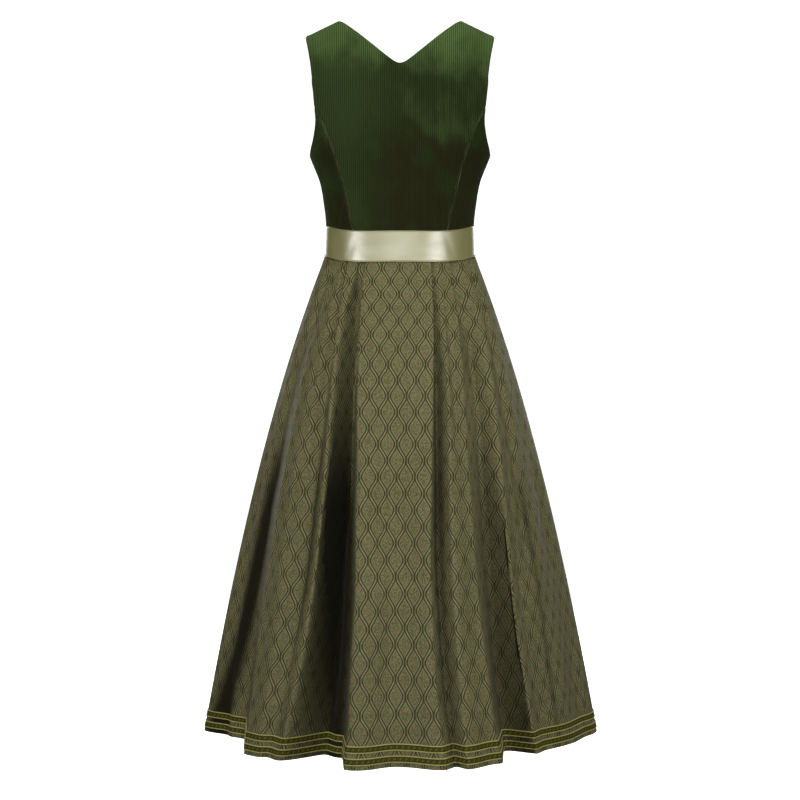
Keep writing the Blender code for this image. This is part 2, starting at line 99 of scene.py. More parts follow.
SASH_HEIGHT = 0.0565
SASH_RISE = 0.0285
SASH_WALL = 0.0012
SASH_EDGE = 0.0022           # height of the rolled edge
SASH_WELT = 0.00045          # how far the rolled edge stands proud
SASH_ROUNDING = 0.0006
SASH_LAP = 0.0450
SASH_LAP_ANGLE = 207.0
SASH_TOP_HALF = (0.1372, 0.0958, 0.0998)
SASH_BOTTOM_HALF = (0.1397, 0.0992, 0.1030)

BODICE_LOW_Z = -0.430
# Sections of the bodice: height, half width, depth behind, depth in front
BODICE_SECTIONS = (
    (-0.430, 0.1340, 0.0930, 0.0970),
    (-0.405, 0.1345, 0.0935, 0.0975),
    (-0.377, 0.1352, 0.0945, 0.0985),
    (-0.345, 0.1385, 0.0965, 0.1005),
    (-0.300, 0.1460, 0.0985, 0.1030),
    (-0.270, 0.1570, 0.1005, 0.1050),
    (-0.248, 0.1656, 0.1020, 0.1055),
    (-0.220, 0.1685, 0.1030, 0.1050),
    (-0.180, 0.1745, 0.1030, 0.1030),
    (-0.120, 0.1850, 0.1010, 0.0980),
    (0.000, 0.1880, 0.0980, 0.0900),
)
# Armholes: height, half width at the edge of the back, half width at the edge of the front
ARMHOLE_EDGES = (
    (-0.248, 0.1656, 0.1656),
    (-0.236, 0.1632, 0.1600),
    (-0.220, 0.1603, 0.1560),
    (-0.190, 0.1578, 0.1515),
    (-0.162, 0.1574, 0.1505),
    (-0.120, 0.1602, 0.1530),
    (-0.075, 0.1660, 0.1610),
    (-0.029, 0.1750, 0.1750),
)
# Princess seams: height, half width on the back, half width on the front
PRINCESS_SEAMS = (
    (-0.430, 0.0760, 0.0700),
    (-0.387, 0.0853, 0.0790),
    (-0.340, 0.0962, 0.0880),
    (-0.282, 0.1097, 0.0960),
    (-0.251, 0.1188, 0.1020),
    (-0.215, 0.1319, 0.1170),
    (-0.190, 0.1425, 0.1320),
    (-0.162, 0.1574, 0.1505),
)
PRINCESS_TOP_Z = -0.1620
ARMHOLE_POWERS = (1.6, 2.0)
BUST_Z = -0.2450
BUST_ANGLE = 38.0
BUST_DEPTH = 0.0210
BUST_SPREAD_Z = 0.0550
BUST_SPREAD_ANGLE = 27.0
BUST_FADE_ANGLE = 45.0       # before the side seam, where the bust ends
GRAIN_LEAN = 0.35            # 0 keeps a side piece's grain plumb, 1 runs it midway between its seams
# About how much nearer a sloping cut edge is than its height above a point says: the neck behind
# and in front, the shoulder, and the armhole
NECK_SLOPES = (0.72, 0.60)
SHOULDER_SLOPE = 0.90
ARMHOLE_SLOPE = 0.85
# How far the cloth of each bodice piece reaches from its grain line, and where the weave of the
# back's and the front's pieces starts, so that no two are alike
BACK_SPREAD = (-0.200, 0.200)
FRONT_SPREAD = (0.0, 0.210)
SIDE_SPREAD = (-0.090, 0.090)
BACK_SIDE_WEAVE = 0.4
FRONT_WEAVE = 0.8

# Pressed pleats. The columns are: the angle of the folded edge at the waist, a third of the way
# down and at the hem; how far the edge stands out of the section, how deep the cloth steps in
# beside it and how steep that step is in degrees, each a third of the way down and at the hem;
# the rounding of its bends at the hem; and the side on which the cloth turns under (-1 towards
# smaller angles, +1 towards larger ones).
PLEATS = (
    (-57.5, -53.5, -49.0, -0.004, -0.012, 0.016, 0.062, 14.0, 28.0, 0.014, -1),
    (-43.2, -31.2, -36.5, 0.004, -0.012, 0.018, 0.008, 46.0, 20.0, 0.012, -1),
    (-27.5, -17.6, -13.6, 0.004, 0.009, 0.044, 0.084, 64.0, 68.0, 0.008, -1),
    (24.3, 13.4, 11.5, 0.003, 0.005, 0.030, 0.018, 68.0, 44.0, 0.006, 1),
    (40.4, 29.0, 28.0, -0.001, -0.010, 0.024, 0.070, 28.0, 48.0, 0.013, 1),
    (64.6, 47.8, 46.0, -0.002, -0.032, 0.014, 0.010, 30.0, 20.0, 0.014, 1),
    (115.0, 121.0, 123.0, -0.004, -0.012, 0.020, 0.058, 36.0, 42.0, 0.018, -1),
    (136.0, 141.0, 139.0, -0.002, -0.006, 0.012, 0.010, 44.0, 20.0, 0.018, -1),
    (153.0, 161.0, 165.0, 0.002, 0.006, 0.030, 0.068, 50.0, 60.0, 0.014, -1),
    (206.0, 198.0, 194.0, 0.002, 0.002, 0.022, 0.052, 50.0, 50.0, 0.015, 1),
    (224.0, 222.0, 226.0, -0.002, -0.008, 0.014, 0.012, 46.0, 20.0, 0.018, 1),
    (244.0, 240.0, 237.0, -0.005, -0.010, 0.022, 0.060, 36.0, 46.0, 0.016, 1),
)
# Soft waves between the pleats. The columns are: the same three angles, and how far the cloth
# stands out of the section a third of the way down and at the hem.
WAVES = (
    (-90.0, -90.0, -90.0, 0.000, -0.001),
    (-80.0, -81.0, -79.0, -0.008, -0.046),
    (-46.0, -42.5, -44.0, 0.004, -0.012),
    (-33.0, -28.0, -27.4, -0.058, -0.090),
    (-2.0, -2.0, -2.0, -0.006, -0.024),
    (30.0, 21.0, 17.8, 0.006, 0.010),
    (76.0, 68.0, 69.0, -0.012, -0.027),
    (90.0, 90.0, 90.0, 0.000, 0.001),
    (104.0, 100.0, 101.0, -0.004, -0.014),
    (180.0, 180.0, 181.0, -0.006, -0.022),
    (256.0, 259.0, 256.0, -0.004, -0.012),
    (270.0, 270.0, 270.0, 0.000, -0.001),
)

# ---------------------------------------------------------------- creases
# Bodice: +1 back or -1 front, distance round from the centre (+ to the wearer's right), height of
# its middle, half length, half width, lean in degrees from upright, depth (below 0 for a ridge)
BODICE_CREASES = (
    (1, -0.119, -0.358, 0.030, 0.0050, 14.0, 0.0016),
    (1, -0.137, -0.352, 0.024, 0.0040, -10.0, 0.0010),
    (1, 0.126, -0.360, 0.026, 0.0050, -16.0, 0.0013),
    (1, 0.060, -0.368, 0.022, 0.0060, 8.0, 0.0008),
    (1, -0.030, -0.366, 0.018, 0.0070, -12.0, 0.0007),
    (1, -0.150, -0.205, 0.040, 0.0070, 38.0, 0.0012),
    (1, 0.150, -0.198, 0.036, 0.0070, -40.0, 0.0010),
    (1, -0.135, -0.045, 0.030, 0.0100, 62.0, 0.0012),
    (1, 0.138, -0.052, 0.034, 0.0090, -58.0, 0.0011),
    (1, -0.108, -0.090, 0.045, 0.0100, 48.0, 0.0010),
    (1, 0.100, -0.100, 0.050, 0.0110, -50.0, 0.0009),
    (-1, -0.108, -0.352, 0.028, 0.0050, -12.0, 0.0014),
    (-1, 0.112, -0.356, 0.024, 0.0050, 14.0, 0.0012),
    (-1, 0.035, -0.366, 0.022, 0.0060, 10.0, 0.0008),
    (-1, -0.048, -0.362, 0.020, 0.0060, -8.0, 0.0008),
    (-1, -0.135, -0.215, 0.030, 0.0060, -46.0, 0.0012),
    (-1, 0.138, -0.208, 0.034, 0.0070, 44.0, 0.0010),
    (-1, -0.120, -0.110, 0.040, 0.0100, -40.0, 0.0010),
    (-1, 0.122, -0.100, 0.036, 0.0100, 46.0, 0.0010),
)
# Skirt: the three angles, share of the drop at its start and end, half width, depth
SKIRT_CREASES = (
    (-21.0, -14.6, -9.0, 0.13, 0.36, 0.0060, 0.0040),
    (-9.0, -9.5, -8.0, 0.00, 0.16, 0.0080, 0.0012),
    (11.0, 9.0, 6.0, 0.00, 0.22, 0.0080, 0.0014),
    (2.0, 4.0, 4.0, 0.52, 1.00, 0.0200, 0.0045),
    (-6.0, -7.0, -9.0, 0.62, 1.00, 0.0180, -0.0040),
    (-38.0, -27.0, -34.0, 0.30, 0.62, 0.0100, 0.0050),
    (-48.0, -43.0, -43.5, 0.20, 0.70, 0.0120, 0.0050),
    (-66.0, -63.0, -60.0, 0.05, 0.55, 0.0140, 0.0060),
    (-72.0, -72.0, -68.0, 0.45, 1.00, 0.0200, -0.0060),
    (32.0, 24.0, 23.0, 0.10, 0.48, 0.0080, 0.0045),
    (52.0, 40.0, 38.0, 0.15, 0.60, 0.0100, 0.0055),
    (58.0, 44.0, 42.0, 0.50, 1.00, 0.0200, 0.0070),
    (72.0, 60.0, 57.0, 0.10, 0.70, 0.0140, 0.0060),
    (82.0, 78.0, 78.0, 0.40, 1.00, 0.0220, 0.0060),
    (108.0, 110.0, 112.0, 0.10, 0.60, 0.0120, 0.0060),
    (126.0, 130.0, 131.0, 0.30, 1.00, 0.0180, 0.0060),
    (146.0, 150.0, 152.0, 0.05, 0.55, 0.0100, 0.0050),
    (168.0, 171.0, 172.0, 0.40, 1.00, 0.0200, 0.0060),
    (188.0, 187.0, 188.0, 0.00, 0.40, 0.0090, 0.0030),
    (214.0, 210.0, 209.0, 0.20, 0.80, 0.0130, 0.0060),
    (234.0, 231.0, 231.0, 0.10, 0.60, 0.0110, 0.0060),
    (250.0, 250.0, 247.0, 0.45, 1.00, 0.0200, 0.0070),
)
# Bands of painted shade deep in the skirt's folds: the three angles, share of the drop at its start, half
# width, strength
SKIRT_SHADES = (
    (-69.0, -70.0, -84.0, 0.30, 0.028, 0.78),
    (-40.0, -34.5, -36.0, 0.22, 0.008, 0.40),
    (-30.0, -26.0, -23.0, 0.45, 0.022, 0.50),
    (50.0, 44.0, 43.5, 0.50, 0.008, 0.24),
    (70.0, 62.0, 59.0, 0.38, 0.012, 0.45),
    (116.0, 124.0, 127.0, 0.30, 0.020, 0.45),
    (243.0, 238.0, 233.0, 0.30, 0.020, 0.45),
)
# Sash: angle, lean in degrees from upright, half width, depth
SASH_CREASES = (
    (-38.0, 24.0, 0.0080, 0.0003),
    (-55.0, -14.0, 0.0100, 0.0009),
    (40.0, -20.0, 0.0080, 0.0004),
    (58.0, 12.0, 0.0090, 0.0009),
    (6.0, 30.0, 0.0160, 0.0003),
    (122.0, 18.0, 0.0090, 0.0010),
    (150.0, -24.0, 0.0080, 0.0010),
    (186.0, 14.0, 0.0100, 0.0009),
    (236.0, -16.0, 0.0090, 0.0010),
    (262.0, 20.0, 0.0100, 0.0008),
)

# ---------------------------------------------------------------- sewn edges and soft cloth
SEAM_DIP_WIDTH = 0.0028      # width over which the cloth dips in to a seam
SEAM_WELT = (0.0006, 0.0065, 0.0032)  # it stands up beyond: how far, its place, its width
SEAM_HIGHLIGHT = (0.0018, 0.0006)  # painted highlight along a seam: its place and its width
CUT_ROUNDING = 0.0016        # width over which a cut edge is rolled over
CUT_ROLL = 0.4               # how deep it rolls, as a share of the cloth's thickness
SASH_ROLL = 0.35             # the same for the sash
SASH_CREASE_SHOWS = 0.75     # share of a crease of the sash that shows on its outside
RIB_POWER = 0.7              # below 1, ribs are broad and the grooves between them narrow
RIB_FADE = 0.0015            # width over which the ribs end at an edge
CREASE_STARTS = 0.10         # share of the drop over which a skirt crease grows
CREASE_ENDS = 0.14           # the same where it dies away
CREASE_WIDTHS = (0.6, 0.8)   # a crease's width at the waist, and how much it widens to the hem
SHADE_STARTS = 0.18          # and over which a band of painted shade grows
GATHERS = (0.0007, 0.030)    # small gathers under the waist seam: how deep, and how far down
SWAY = 0.0022                # slow waves of the skirt's cloth at the hem
SEAM_CALM = 6.0              # degrees beside a side seam over which the creases end
VELVET_ROWS = 5
BRAID_RISE = 0.0007          # how far the velvet of a braid stands off the skirt
CORD_RISE = (0.0006, 0.0007)  # the same for its cord: at the edges, and more at the middle
CORD_STEPS = np.array((0.0, 0.12, 0.30, 0.5, 0.70, 0.88, 1.0))
ROLL_STEPS = np.array((0.0, 0.08, 0.25, 0.5, 0.75, 1.0, 1.35))

# ---------------------------------------------------------------- mesh fineness
WALE_COLUMNS = 4             # columns of the bodice's mesh for each rib of the corduroy
BODICE_ROWS = 44
CUT_SAMPLES = 220            # heights at which a panel's outline is looked for
CUT_LOW_Z = -0.432
BODICE_EVENNESS = 0.25       # 0 bunches a panel's rows at its two ends, 1 spaces them evenly
SKIRT_ROWS = 96
SKIRT_BUNCHING = (1.7, 0.35)  # power by which its rows bunch under the waist seam, and its share
PANEL_STEPS = 14
ARC_STEPS = 8
SASH_COLUMNS = 300
SASH_ROWS = 16               # between its rolled edges
SHARP_ANGLE = 55.0

# ---------------------------------------------------------------- weaves, in metres
MOTIF_START = (-0.0036, -0.0128)  # along and down the cloth to the lattice's start
LATTICE_SWING = 0.185        # how far a line of the lattice swings, in widths of a repeat
THREAD_WANDER = 0.0012
TWILL_PITCH = 0.0011         # along the cloth, 0.9 mm square to the lines
# Distances from the middle of a lattice line between which each part of it starts or ends
LINE_EDGE = (0.0008, 0.0014)
GROOVE_START = (0.0007, 0.0014)
GROOVE_END = (0.0028, 0.0042)
JOINT_EDGE = (0.0022, 0.0036)
CELL_START = (0.0034, 0.0060)
FOLD_SHADE_DOWN = (0.24, 0.50)  # down the cloth, where the painted shade of the folds grows in
# Heights between which the corduroy gets painted light towards the shoulders, or painted shade towards the
# waist, and distances along the cloth between which the painted light of the wearer's left starts and ends
TOP_LIGHT_HEIGHTS = (-0.150, -0.020)
WAIST_SHADE_HEIGHTS = (-0.180, -0.250)
LEFT_SIDE_LIGHT = ((0.030, -0.130), (-0.430, -0.330))
CORD_TWIST = 0.0024          # one turn of a strand, along the braid
DOT_EDGE = (0.0013, 0.0021)  # distances from a dot's middle between which it ends

# ---------------------------------------------------------------- camera and stage
CAMERA_PLACE = (0.0, -3.0, -0.699)
CAMERA_FOCUS_MM = 72.97
SENSOR_MM = 36.0
FLOOR_Z = -1.620
COVE_RADIUS = 6.0
COVE_HEIGHT = 6.0
COVE_BEND = 1.5
PAPER_GLOW = 1.05
ROOM_LIGHT = 0.04
BOX_TARGET = (0.0, 0.0, -0.60)
CARD_TARGET = (0.0, 0.0, -0.40)

# ---------------------------------------------------------------- settings that shader nodes share
SMOOTH = {"interpolation_type": "SMOOTHSTEP"}
COLOURS = {"data_type": "RGBA"}


# ---------------------------------------------------------------- settings that a user would change
def length_setting(name, description, value, low, high):
    return bpy.props.FloatProperty(name=name, description=description, default=value, min=low, max=high,
                                   unit="LENGTH", precision=5)


def colour_setting(name, description, value):
    return bpy.props.StringProperty(name=name, description=description + ", as sRGB hex", default=value)


class DressSizes(bpy.types.PropertyGroup):
    """Thicknesses of the cloths and sizes of their weaves"""

    bodice_wall: length_setting("Bodice cloth", "Thickness of the backed corduroy", 0.0020, 0.0005, 0.004)
    skirt_wall: length_setting("Skirt cloth", "Thickness of the brocade", 0.0012, 0.0005, 0.003)
    wale_pitch: length_setting(
        "Rib spacing", "Distance between two ribs of the corduroy", 0.0039, 0.002, 0.010)
    wale_height: length_setting(
        "Rib height", "How far a rib stands above the groove beside it", 0.00055, 0.0, 0.0015)
    seam_depth: length_setting("Seam depth", "How far the cloth dips in to a seam", 0.0014, 0.0, 0.003)
    motif_width: length_setting(
        "Lattice width", "Width of one repeat of the brocade's lattice", 0.0325, 0.01, 0.2)
    motif_height: length_setting(
        "Lattice height", "Height of one repeat of the brocade's lattice", 0.0568, 0.01, 0.3)
    braid_cord: length_setting(
        "Braid cord", "Width of the corded edges of the hem braids", 0.0016, 0.001, 0.004)
    braid_dot_step: length_setting(
        "Braid dots", "Distance between two woven dots of a hem braid", 0.0098, 0.004, 0.04)


class DressColours(bpy.types.PropertyGroup):
    """Colours of the cloths, as sRGB hex values"""

    pile: colour_setting("Corduroy ribs", "Cut pile on the ribs", "#202b0f")
    # random brushed patches of the nap, and painted light towards the shoulders and on the wearer's left of
    # the back
    pile_nap_and_painted_light: colour_setting("Brushed pile", "Pile brushed against its nap", "#465b30")
    # painted shade: the pile drawn darker and browner towards the waist
    pile_waist_shade: colour_setting("Flattened pile", "Pile pressed flat, towards the waist", "#1f1b08")
    pile_tips: colour_setting("Pile tips", "Sheen of the pile seen from the side", "#a9b98a")
    # painted highlight: a light line along the seams
    seam_highlight: colour_setting("Seam edge", "Pile rubbed bare along the seams", "#5c6a48")
    # the bare ground between the ribs, with painted shade in the grooves; also the darker threads of the
    # corduroy's back
    ground_and_groove_shade: colour_setting("Corduroy ground", "Bare ground between the ribs", "#0d1006")
    figure: colour_setting("Brocade figure", "Inside of the lattice's cells", "#787652")
    lattice: colour_setting("Brocade lattice", "Raised lines of the lattice", "#767456")
    outline: colour_setting("Brocade outline", "Sunk lines beside the lattice", "#2a290f")
    rust: colour_setting("Brocade warp", "Warp that shows faintly through the ground", "#6d5b45")
    # painted shade: the cloth deep in the skirt's folds
    fold: colour_setting("Brocade in the folds", "Cloth that lies deep in a fold", "#0c0801")
    satin: colour_setting("Sash", "Warp-faced satin", "#7a784c")
    satin_weft: colour_setting("Sash weft", "Weft that shows faintly through the satin", "#5f5a36")
    cord: colour_setting("Braid cord", "Corded edges of the hem braids", "#b0ab66")
    velvet: colour_setting("Braid velvet", "Velvet middle of the hem braids", "#2a2905")
    dots: colour_setting("Braid dots", "Woven dots on the velvet", "#5a591b")
    stage: colour_setting("Stage", "Floor and backdrop", "#f4f4f2")


# ---------------------------------------------------------------- curves
def smooth_at(rows, key, column):
    """Values of a column on a smooth curve through a table sorted by its first column."""
    table = np.array(rows, dtype=float)
    keys, values = table[:, 0], table[:, column]
    order = np.arange(len(keys))
    low, high = np.maximum(order - 1, 0), np.minimum(order + 1, len(keys) - 1)
    slope = (values[high] - values[low]) / (keys[high] - keys[low])
    key = np.clip(key, keys[0], keys[-1])
    i = np.clip(np.searchsorted(keys, key) - 1, 0, len(keys) - 2)
    width = keys[i + 1] - keys[i]
    t = (key - keys[i]) / width
    start = values[i] * (2 * t ** 3 - 3 * t ** 2 + 1) + slope[i] * width * (t ** 3 - 2 * t ** 2 + t)
    return start + values[i + 1] * (3 * t ** 2 - 2 * t ** 3) + slope[i + 1] * width * (t ** 3 - t ** 2)


def ease(t):
    """Smooth step from 0 to 1."""
    t = np.clip(t, 0.0, 1.0)
    return t * t * (3.0 - 2.0 * t)


def mix(a, b, t):
    return a + (b - a) * t


def bell(distance, spread):
    return np.exp(-(distance / spread) ** 2)


def leaning(beside, above, degrees):
    """Distances across and along a crease that leans from upright."""
    lean = math.radians(degrees)
    cosine, sine = math.cos(lean), math.sin(lean)
    return beside * cosine - above * sine, beside * sine + above * cosine


def oval(angle, half_width, back, front):
    """Point of a section at an angle in degrees: an ellipse with its own depth on each side."""
    turn = np.radians(angle)
    depth = np.where(np.cos(turn) > 0.0, back, front)
    return np.stack((half_width * np.sin(turn), -depth * np.cos(turn)), axis=-1)


def waist_seam_z(angle):
    turn = np.cos(np.radians(angle))
    return WAIST_Z - np.where(turn > 0.0, WAIST_DIP_BACK, WAIST_DIP_FRONT) * ease(np.abs(turn))


# ---------------------------------------------------------------- meshes
def grid_normals(points):
    """Unit normals of a grid of points, whose rows run downwards and columns to the right."""
    down = np.gradient(points, axis=0)
    along = np.gradient(points, axis=1)
    normals = np.cross(down, along)
    return normals / np.maximum(np.linalg.norm(normals, axis=2, keepdims=True), 1e-12)


def metres_round(points):
    """Metres along each row of a grid of points, from its start."""
    steps = np.linalg.norm(np.diff(points, axis=1), axis=2)
    return np.concatenate((np.zeros((len(points), 1)), np.cumsum(steps, axis=1)), axis=1)


def add_wall(name, outer, inner, uv, uv_after=None, ring=False, shade=None):
    """A wall between two grids of points. Slot 0 is its outside, slot 1 its inside and its edges.

    uv holds metres along and down the cloth for each point. uv_after holds the values that count
    for the faces after a column, where the cloth's pattern starts afresh under a fold. shade
    is the name of an attribute that the material reads, and its value at each point.
    """
    rows, columns = outer.shape[:2]
    uv_after = uv if uv_after is None else uv_after
    points = np.concatenate((outer.reshape(-1, 3), inner.reshape(-1, 3)))
    size = rows * columns
    spans = columns if ring else columns - 1
    r, c = (index.ravel() for index in np.meshgrid(np.arange(rows - 1), np.arange(spans), indexing="ij"))
    after = (c + 1) % columns
    row, below = r * columns, (r + 1) * columns
    quads = np.stack((row + c, row + after, below + after, below + c), 1)
    corners = np.stack((uv_after[r, c], uv[r, after], uv[r + 1, after], uv_after[r + 1, c]), 1)
    faces, face_uvs = [quads, quads[:, ::-1] + size], [corners, corners[:, ::-1]]
    slots = [np.zeros(len(quads)), np.ones(len(quads))]

    def rim(line, flip):
        rim_quads = np.stack((line[:-1], line[1:], line[1:] + size, line[:-1] + size), 1)
        flat_uv = uv.reshape(-1, 2)
        rim_uvs = np.stack([flat_uv[rim_quads[:, k] % size] for k in range(4)], 1)
        faces.append(rim_quads[:, ::-1] if flip else rim_quads)
        face_uvs.append(rim_uvs[:, ::-1] if flip else rim_uvs)
        slots.append(np.ones(len(rim_quads)))

    across = np.arange(columns)
    if ring:
        across = np.append(across, 0)
    rim(across, True)
    rim(across + (rows - 1) * columns, False)
    if not ring:
        upright = np.arange(rows) * columns
        rim(upright, False)
        rim(upright + columns - 1, True)
    faces, face_uvs, slots = np.concatenate(faces), np.concatenate(face_uvs), np.concatenate(slots)
    p = points[faces]
    volume = sum(np.einsum("ij,ij->i", p[:, 0], np.cross(p[:, k], p[:, k + 1])).sum() for k in (1, 2))
    if volume < 0.0:  # the faces point inwards
        faces, face_uvs = faces[:, ::-1], face_uvs[:, ::-1]
    mesh = bpy.data.meshes.new(name)
    mesh.from_pydata(points.tolist(), [], faces.tolist())
    layer = mesh.uv_layers.new(name="cloth")
    layer.data.foreach_set("uv", face_uvs.reshape(-1).astype(np.float32))
    if shade:
        attribute = mesh.attributes.new(name=shade[0], type="FLOAT", domain="POINT")
        attribute.data.foreach_set("value", np.tile(shade[1].ravel(), 2).astype(np.float32))
    mesh.polygons.foreach_set("material_index", slots.astype(np.int32))
    mesh.update()
    mesh.shade_smooth()
    mesh.set_sharp_from_angle(angle=math.radians(SHARP_ANGLE))
    piece = bpy.data.objects.new(name, mesh)
    bpy.context.collection.objects.link(piece)
    return piece


def dress_piece(piece, name, slot, outside, inside):
    """Put a finished piece in the place of its plain solid."""
    piece.data.materials.append(outside)
    piece.data.materials.append(inside)
    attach(piece, "root")
    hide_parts(name)


# ---------------------------------------------------------------- bodice
def bodice_point(angle, z):
    """Middle surface of the bodice at angles and heights."""
    half_width = smooth_at(BODICE_SECTIONS, z, 1)
    away = np.abs(np.mod(angle, 360.0) - 180.0)
    cup = bell(away - BUST_ANGLE, BUST_SPREAD_ANGLE) * bell(z - BUST_Z, BUST_SPREAD_Z)
    flat = oval(angle, half_width, smooth_at(BODICE_SECTIONS, z, 2), smooth_at(BODICE_SECTIONS, z, 3))
    x, y = flat[..., 0], flat[..., 1] + BUST_DEPTH * cup * ease((90.0 - away) / BUST_FADE_ANGLE)
    below = np.maximum(shoulder_z(x) - z, 0.0)
    round_in = 1.0 - np.minimum(below / SHOULDER_ROUND, 1.0)
    y = y * np.sqrt(np.maximum(1.0 - round_in ** 2, 0.0))
    return np.stack((x, y, np.broadcast_to(z, x.shape)), axis=-1)


def shoulder_z(x):
    """Height of the shoulder seam; it is level inside the neck point."""
    return -SHOULDER_DROP * np.maximum(np.abs(x) - NECK_HALF, 0.0) / (SHOULDER_HALF - NECK_HALF)


def back_neck_z(x):
    return -BACK_V_DEPTH - BACK_V_SLOPE * BACK_V_RADIUS + BACK_V_SLOPE * np.hypot(x, BACK_V_RADIUS)


def front_neck_z(x):
    across, down = FRONT_NECK_POWERS
    share = np.maximum(1.0 - (np.minimum(np.abs(x), NECK_HALF) / NECK_HALF) ** across, 0.0)
    return -FRONT_NECK_DEPTH * share ** (1.0 / down)


class Half:
    """Back or front of the bodice, measured in metres of cloth round from its centre."""

    LEVELS = np.linspace(BODICE_LOW_Z, 0.0, 216)
    TURNS = np.linspace(0.0, 90.0, 181)
    REACH = np.linspace(0.0, 0.260, 391)

    def __init__(self, side):
        self.side = side             # 1 for the back and 2 for the front, as in the tables
        turns, levels = np.meshgrid(self.TURNS, self.LEVELS)
        self.reach = metres_round(bodice_point(self.angle(turns), levels)[:, :, :2])
        self.turn = np.array([np.interp(self.REACH, row, self.TURNS) for row in self.reach])

    def look_up(self, table, keys, z, value):
        """A table's value between its points, at heights and at a distance or turn of its keys."""
        row = (z - self.LEVELS[0]) / (self.LEVELS[1] - self.LEVELS[0])
        row = np.clip(row, 0.0, len(self.LEVELS) - 1.001)
        column = np.clip(value / (keys[1] - keys[0]), 0.0, len(keys) - 1.001)
        i, j = row.astype(int), column.astype(int)
        s, t = row - i, column - j
        upper = mix(table[i, j], table[i, j + 1], t)
        return mix(upper, mix(table[i + 1, j], table[i + 1, j + 1], t), s)

    def angle_at(self, reach, z):
        """Angle away from the centre at a distance round the cloth."""
        return self.look_up(self.turn, self.REACH, z, reach)

    def reach_at(self, x, z):
        """Distance round the cloth at which the bodice is a given half width from the centre."""
        half_width = smooth_at(BODICE_SECTIONS, z, 1)
        turn = np.degrees(np.arcsin(np.clip(x / half_width, 0.0, 1.0)))
        return self.look_up(self.reach, self.TURNS, z, turn)

    def angle(self, turn):
        return turn if self.side == 1 else 180.0 - turn

    def seam_reach(self, z):
        return self.reach_at(smooth_at(PRINCESS_SEAMS, z, self.side), z)

    def middle(self, z):
        """Grain line of the piece beside a princess seam: nearly plumb, up from its waist."""
        low = np.full_like(z, WAIST_Z)
        return mix(self.between_seams(low), self.between_seams(z), GRAIN_LEAN)

    def side_reach(self, z):
        return self.look_up(self.reach, self.TURNS, z, np.full_like(z, 90.0))

    def between_seams(self, z):
        return 0.5 * (self.seam_reach(np.minimum(z, PRINCESS_TOP_Z)) + self.side_reach(z))


def centre_inside(half, u, z):
    """How far a point of a centre panel lies inside its cut edges and inside its seams."""
    reach = np.abs(u)
    turn = half.angle_at(reach, z)
    x = bodice_point(half.angle(turn), z)[..., 0]
    armhole = smooth_at(ARMHOLE_EDGES, z, half.side)
    seam_x = smooth_at(PRINCESS_SEAMS, z, half.side)
    edge = half.reach_at(np.where(z < PRINCESS_TOP_Z, seam_x, armhole), z)
    neck = (back_neck_z(x) if half.side == 1 else front_neck_z(x)) - z
    top = np.where(np.abs(x) < NECK_HALF, neck * NECK_SLOPES[half.side - 1],
                   (shoulder_z(x) - z) * SHOULDER_SLOPE)
    seam = np.minimum(z - waist_seam_z(half.angle(turn)), edge - reach)
    return top, seam


def side_inside(half, u, z):
    """How far a point of a side piece lies inside its cut edge and inside its seams."""
    reach = u + half.middle(z)
    turn = half.angle_at(reach, z)
    side = half.side_reach(z) - reach
    seam_x = smooth_at(PRINCESS_SEAMS, z, half.side)
    start = np.degrees(np.arcsin(np.clip(seam_x / smooth_at(BODICE_SECTIONS, z, 1), 0.0, 1.0)))
    share = np.clip((turn - start) / (90.0 - start), 0.0, 1.0)
    top = mix(UNDERARM_Z, PRINCESS_TOP_Z, (1.0 - share) ** ARMHOLE_POWERS[half.side - 1]) - z
    seam = np.minimum(np.minimum(z - waist_seam_z(half.angle(turn)), side), reach - half.seam_reach(z))
    return top * ARMHOLE_SLOPE, seam


def cut_columns(half, inside, columns):
    """The columns of cloth that a panel's outline cuts, and their lowest and highest points."""
    levels = np.linspace(CUT_LOW_Z, 0.0, CUT_SAMPLES)
    depth = np.minimum(*inside(half, *np.meshgrid(columns, levels))) - 0.5 * SEWN_GAP
    kept = []
    for column, line in zip(columns, depth.T):
        within = np.nonzero(line > 0.0)[0]
        if len(within) < 2:
            continue
        low, high = within[0], within[-1]
        low_z, high_z = levels[low], levels[high]
        if low > 0:
            low_z = mix(levels[low - 1], levels[low], -line[low - 1] / (line[low] - line[low - 1]))
        if high < len(levels) - 1:
            high_z = mix(levels[high], levels[high + 1], line[high] / (line[high] - line[high + 1]))
        kept.append((column, low_z, high_z))
    return np.array(kept).T


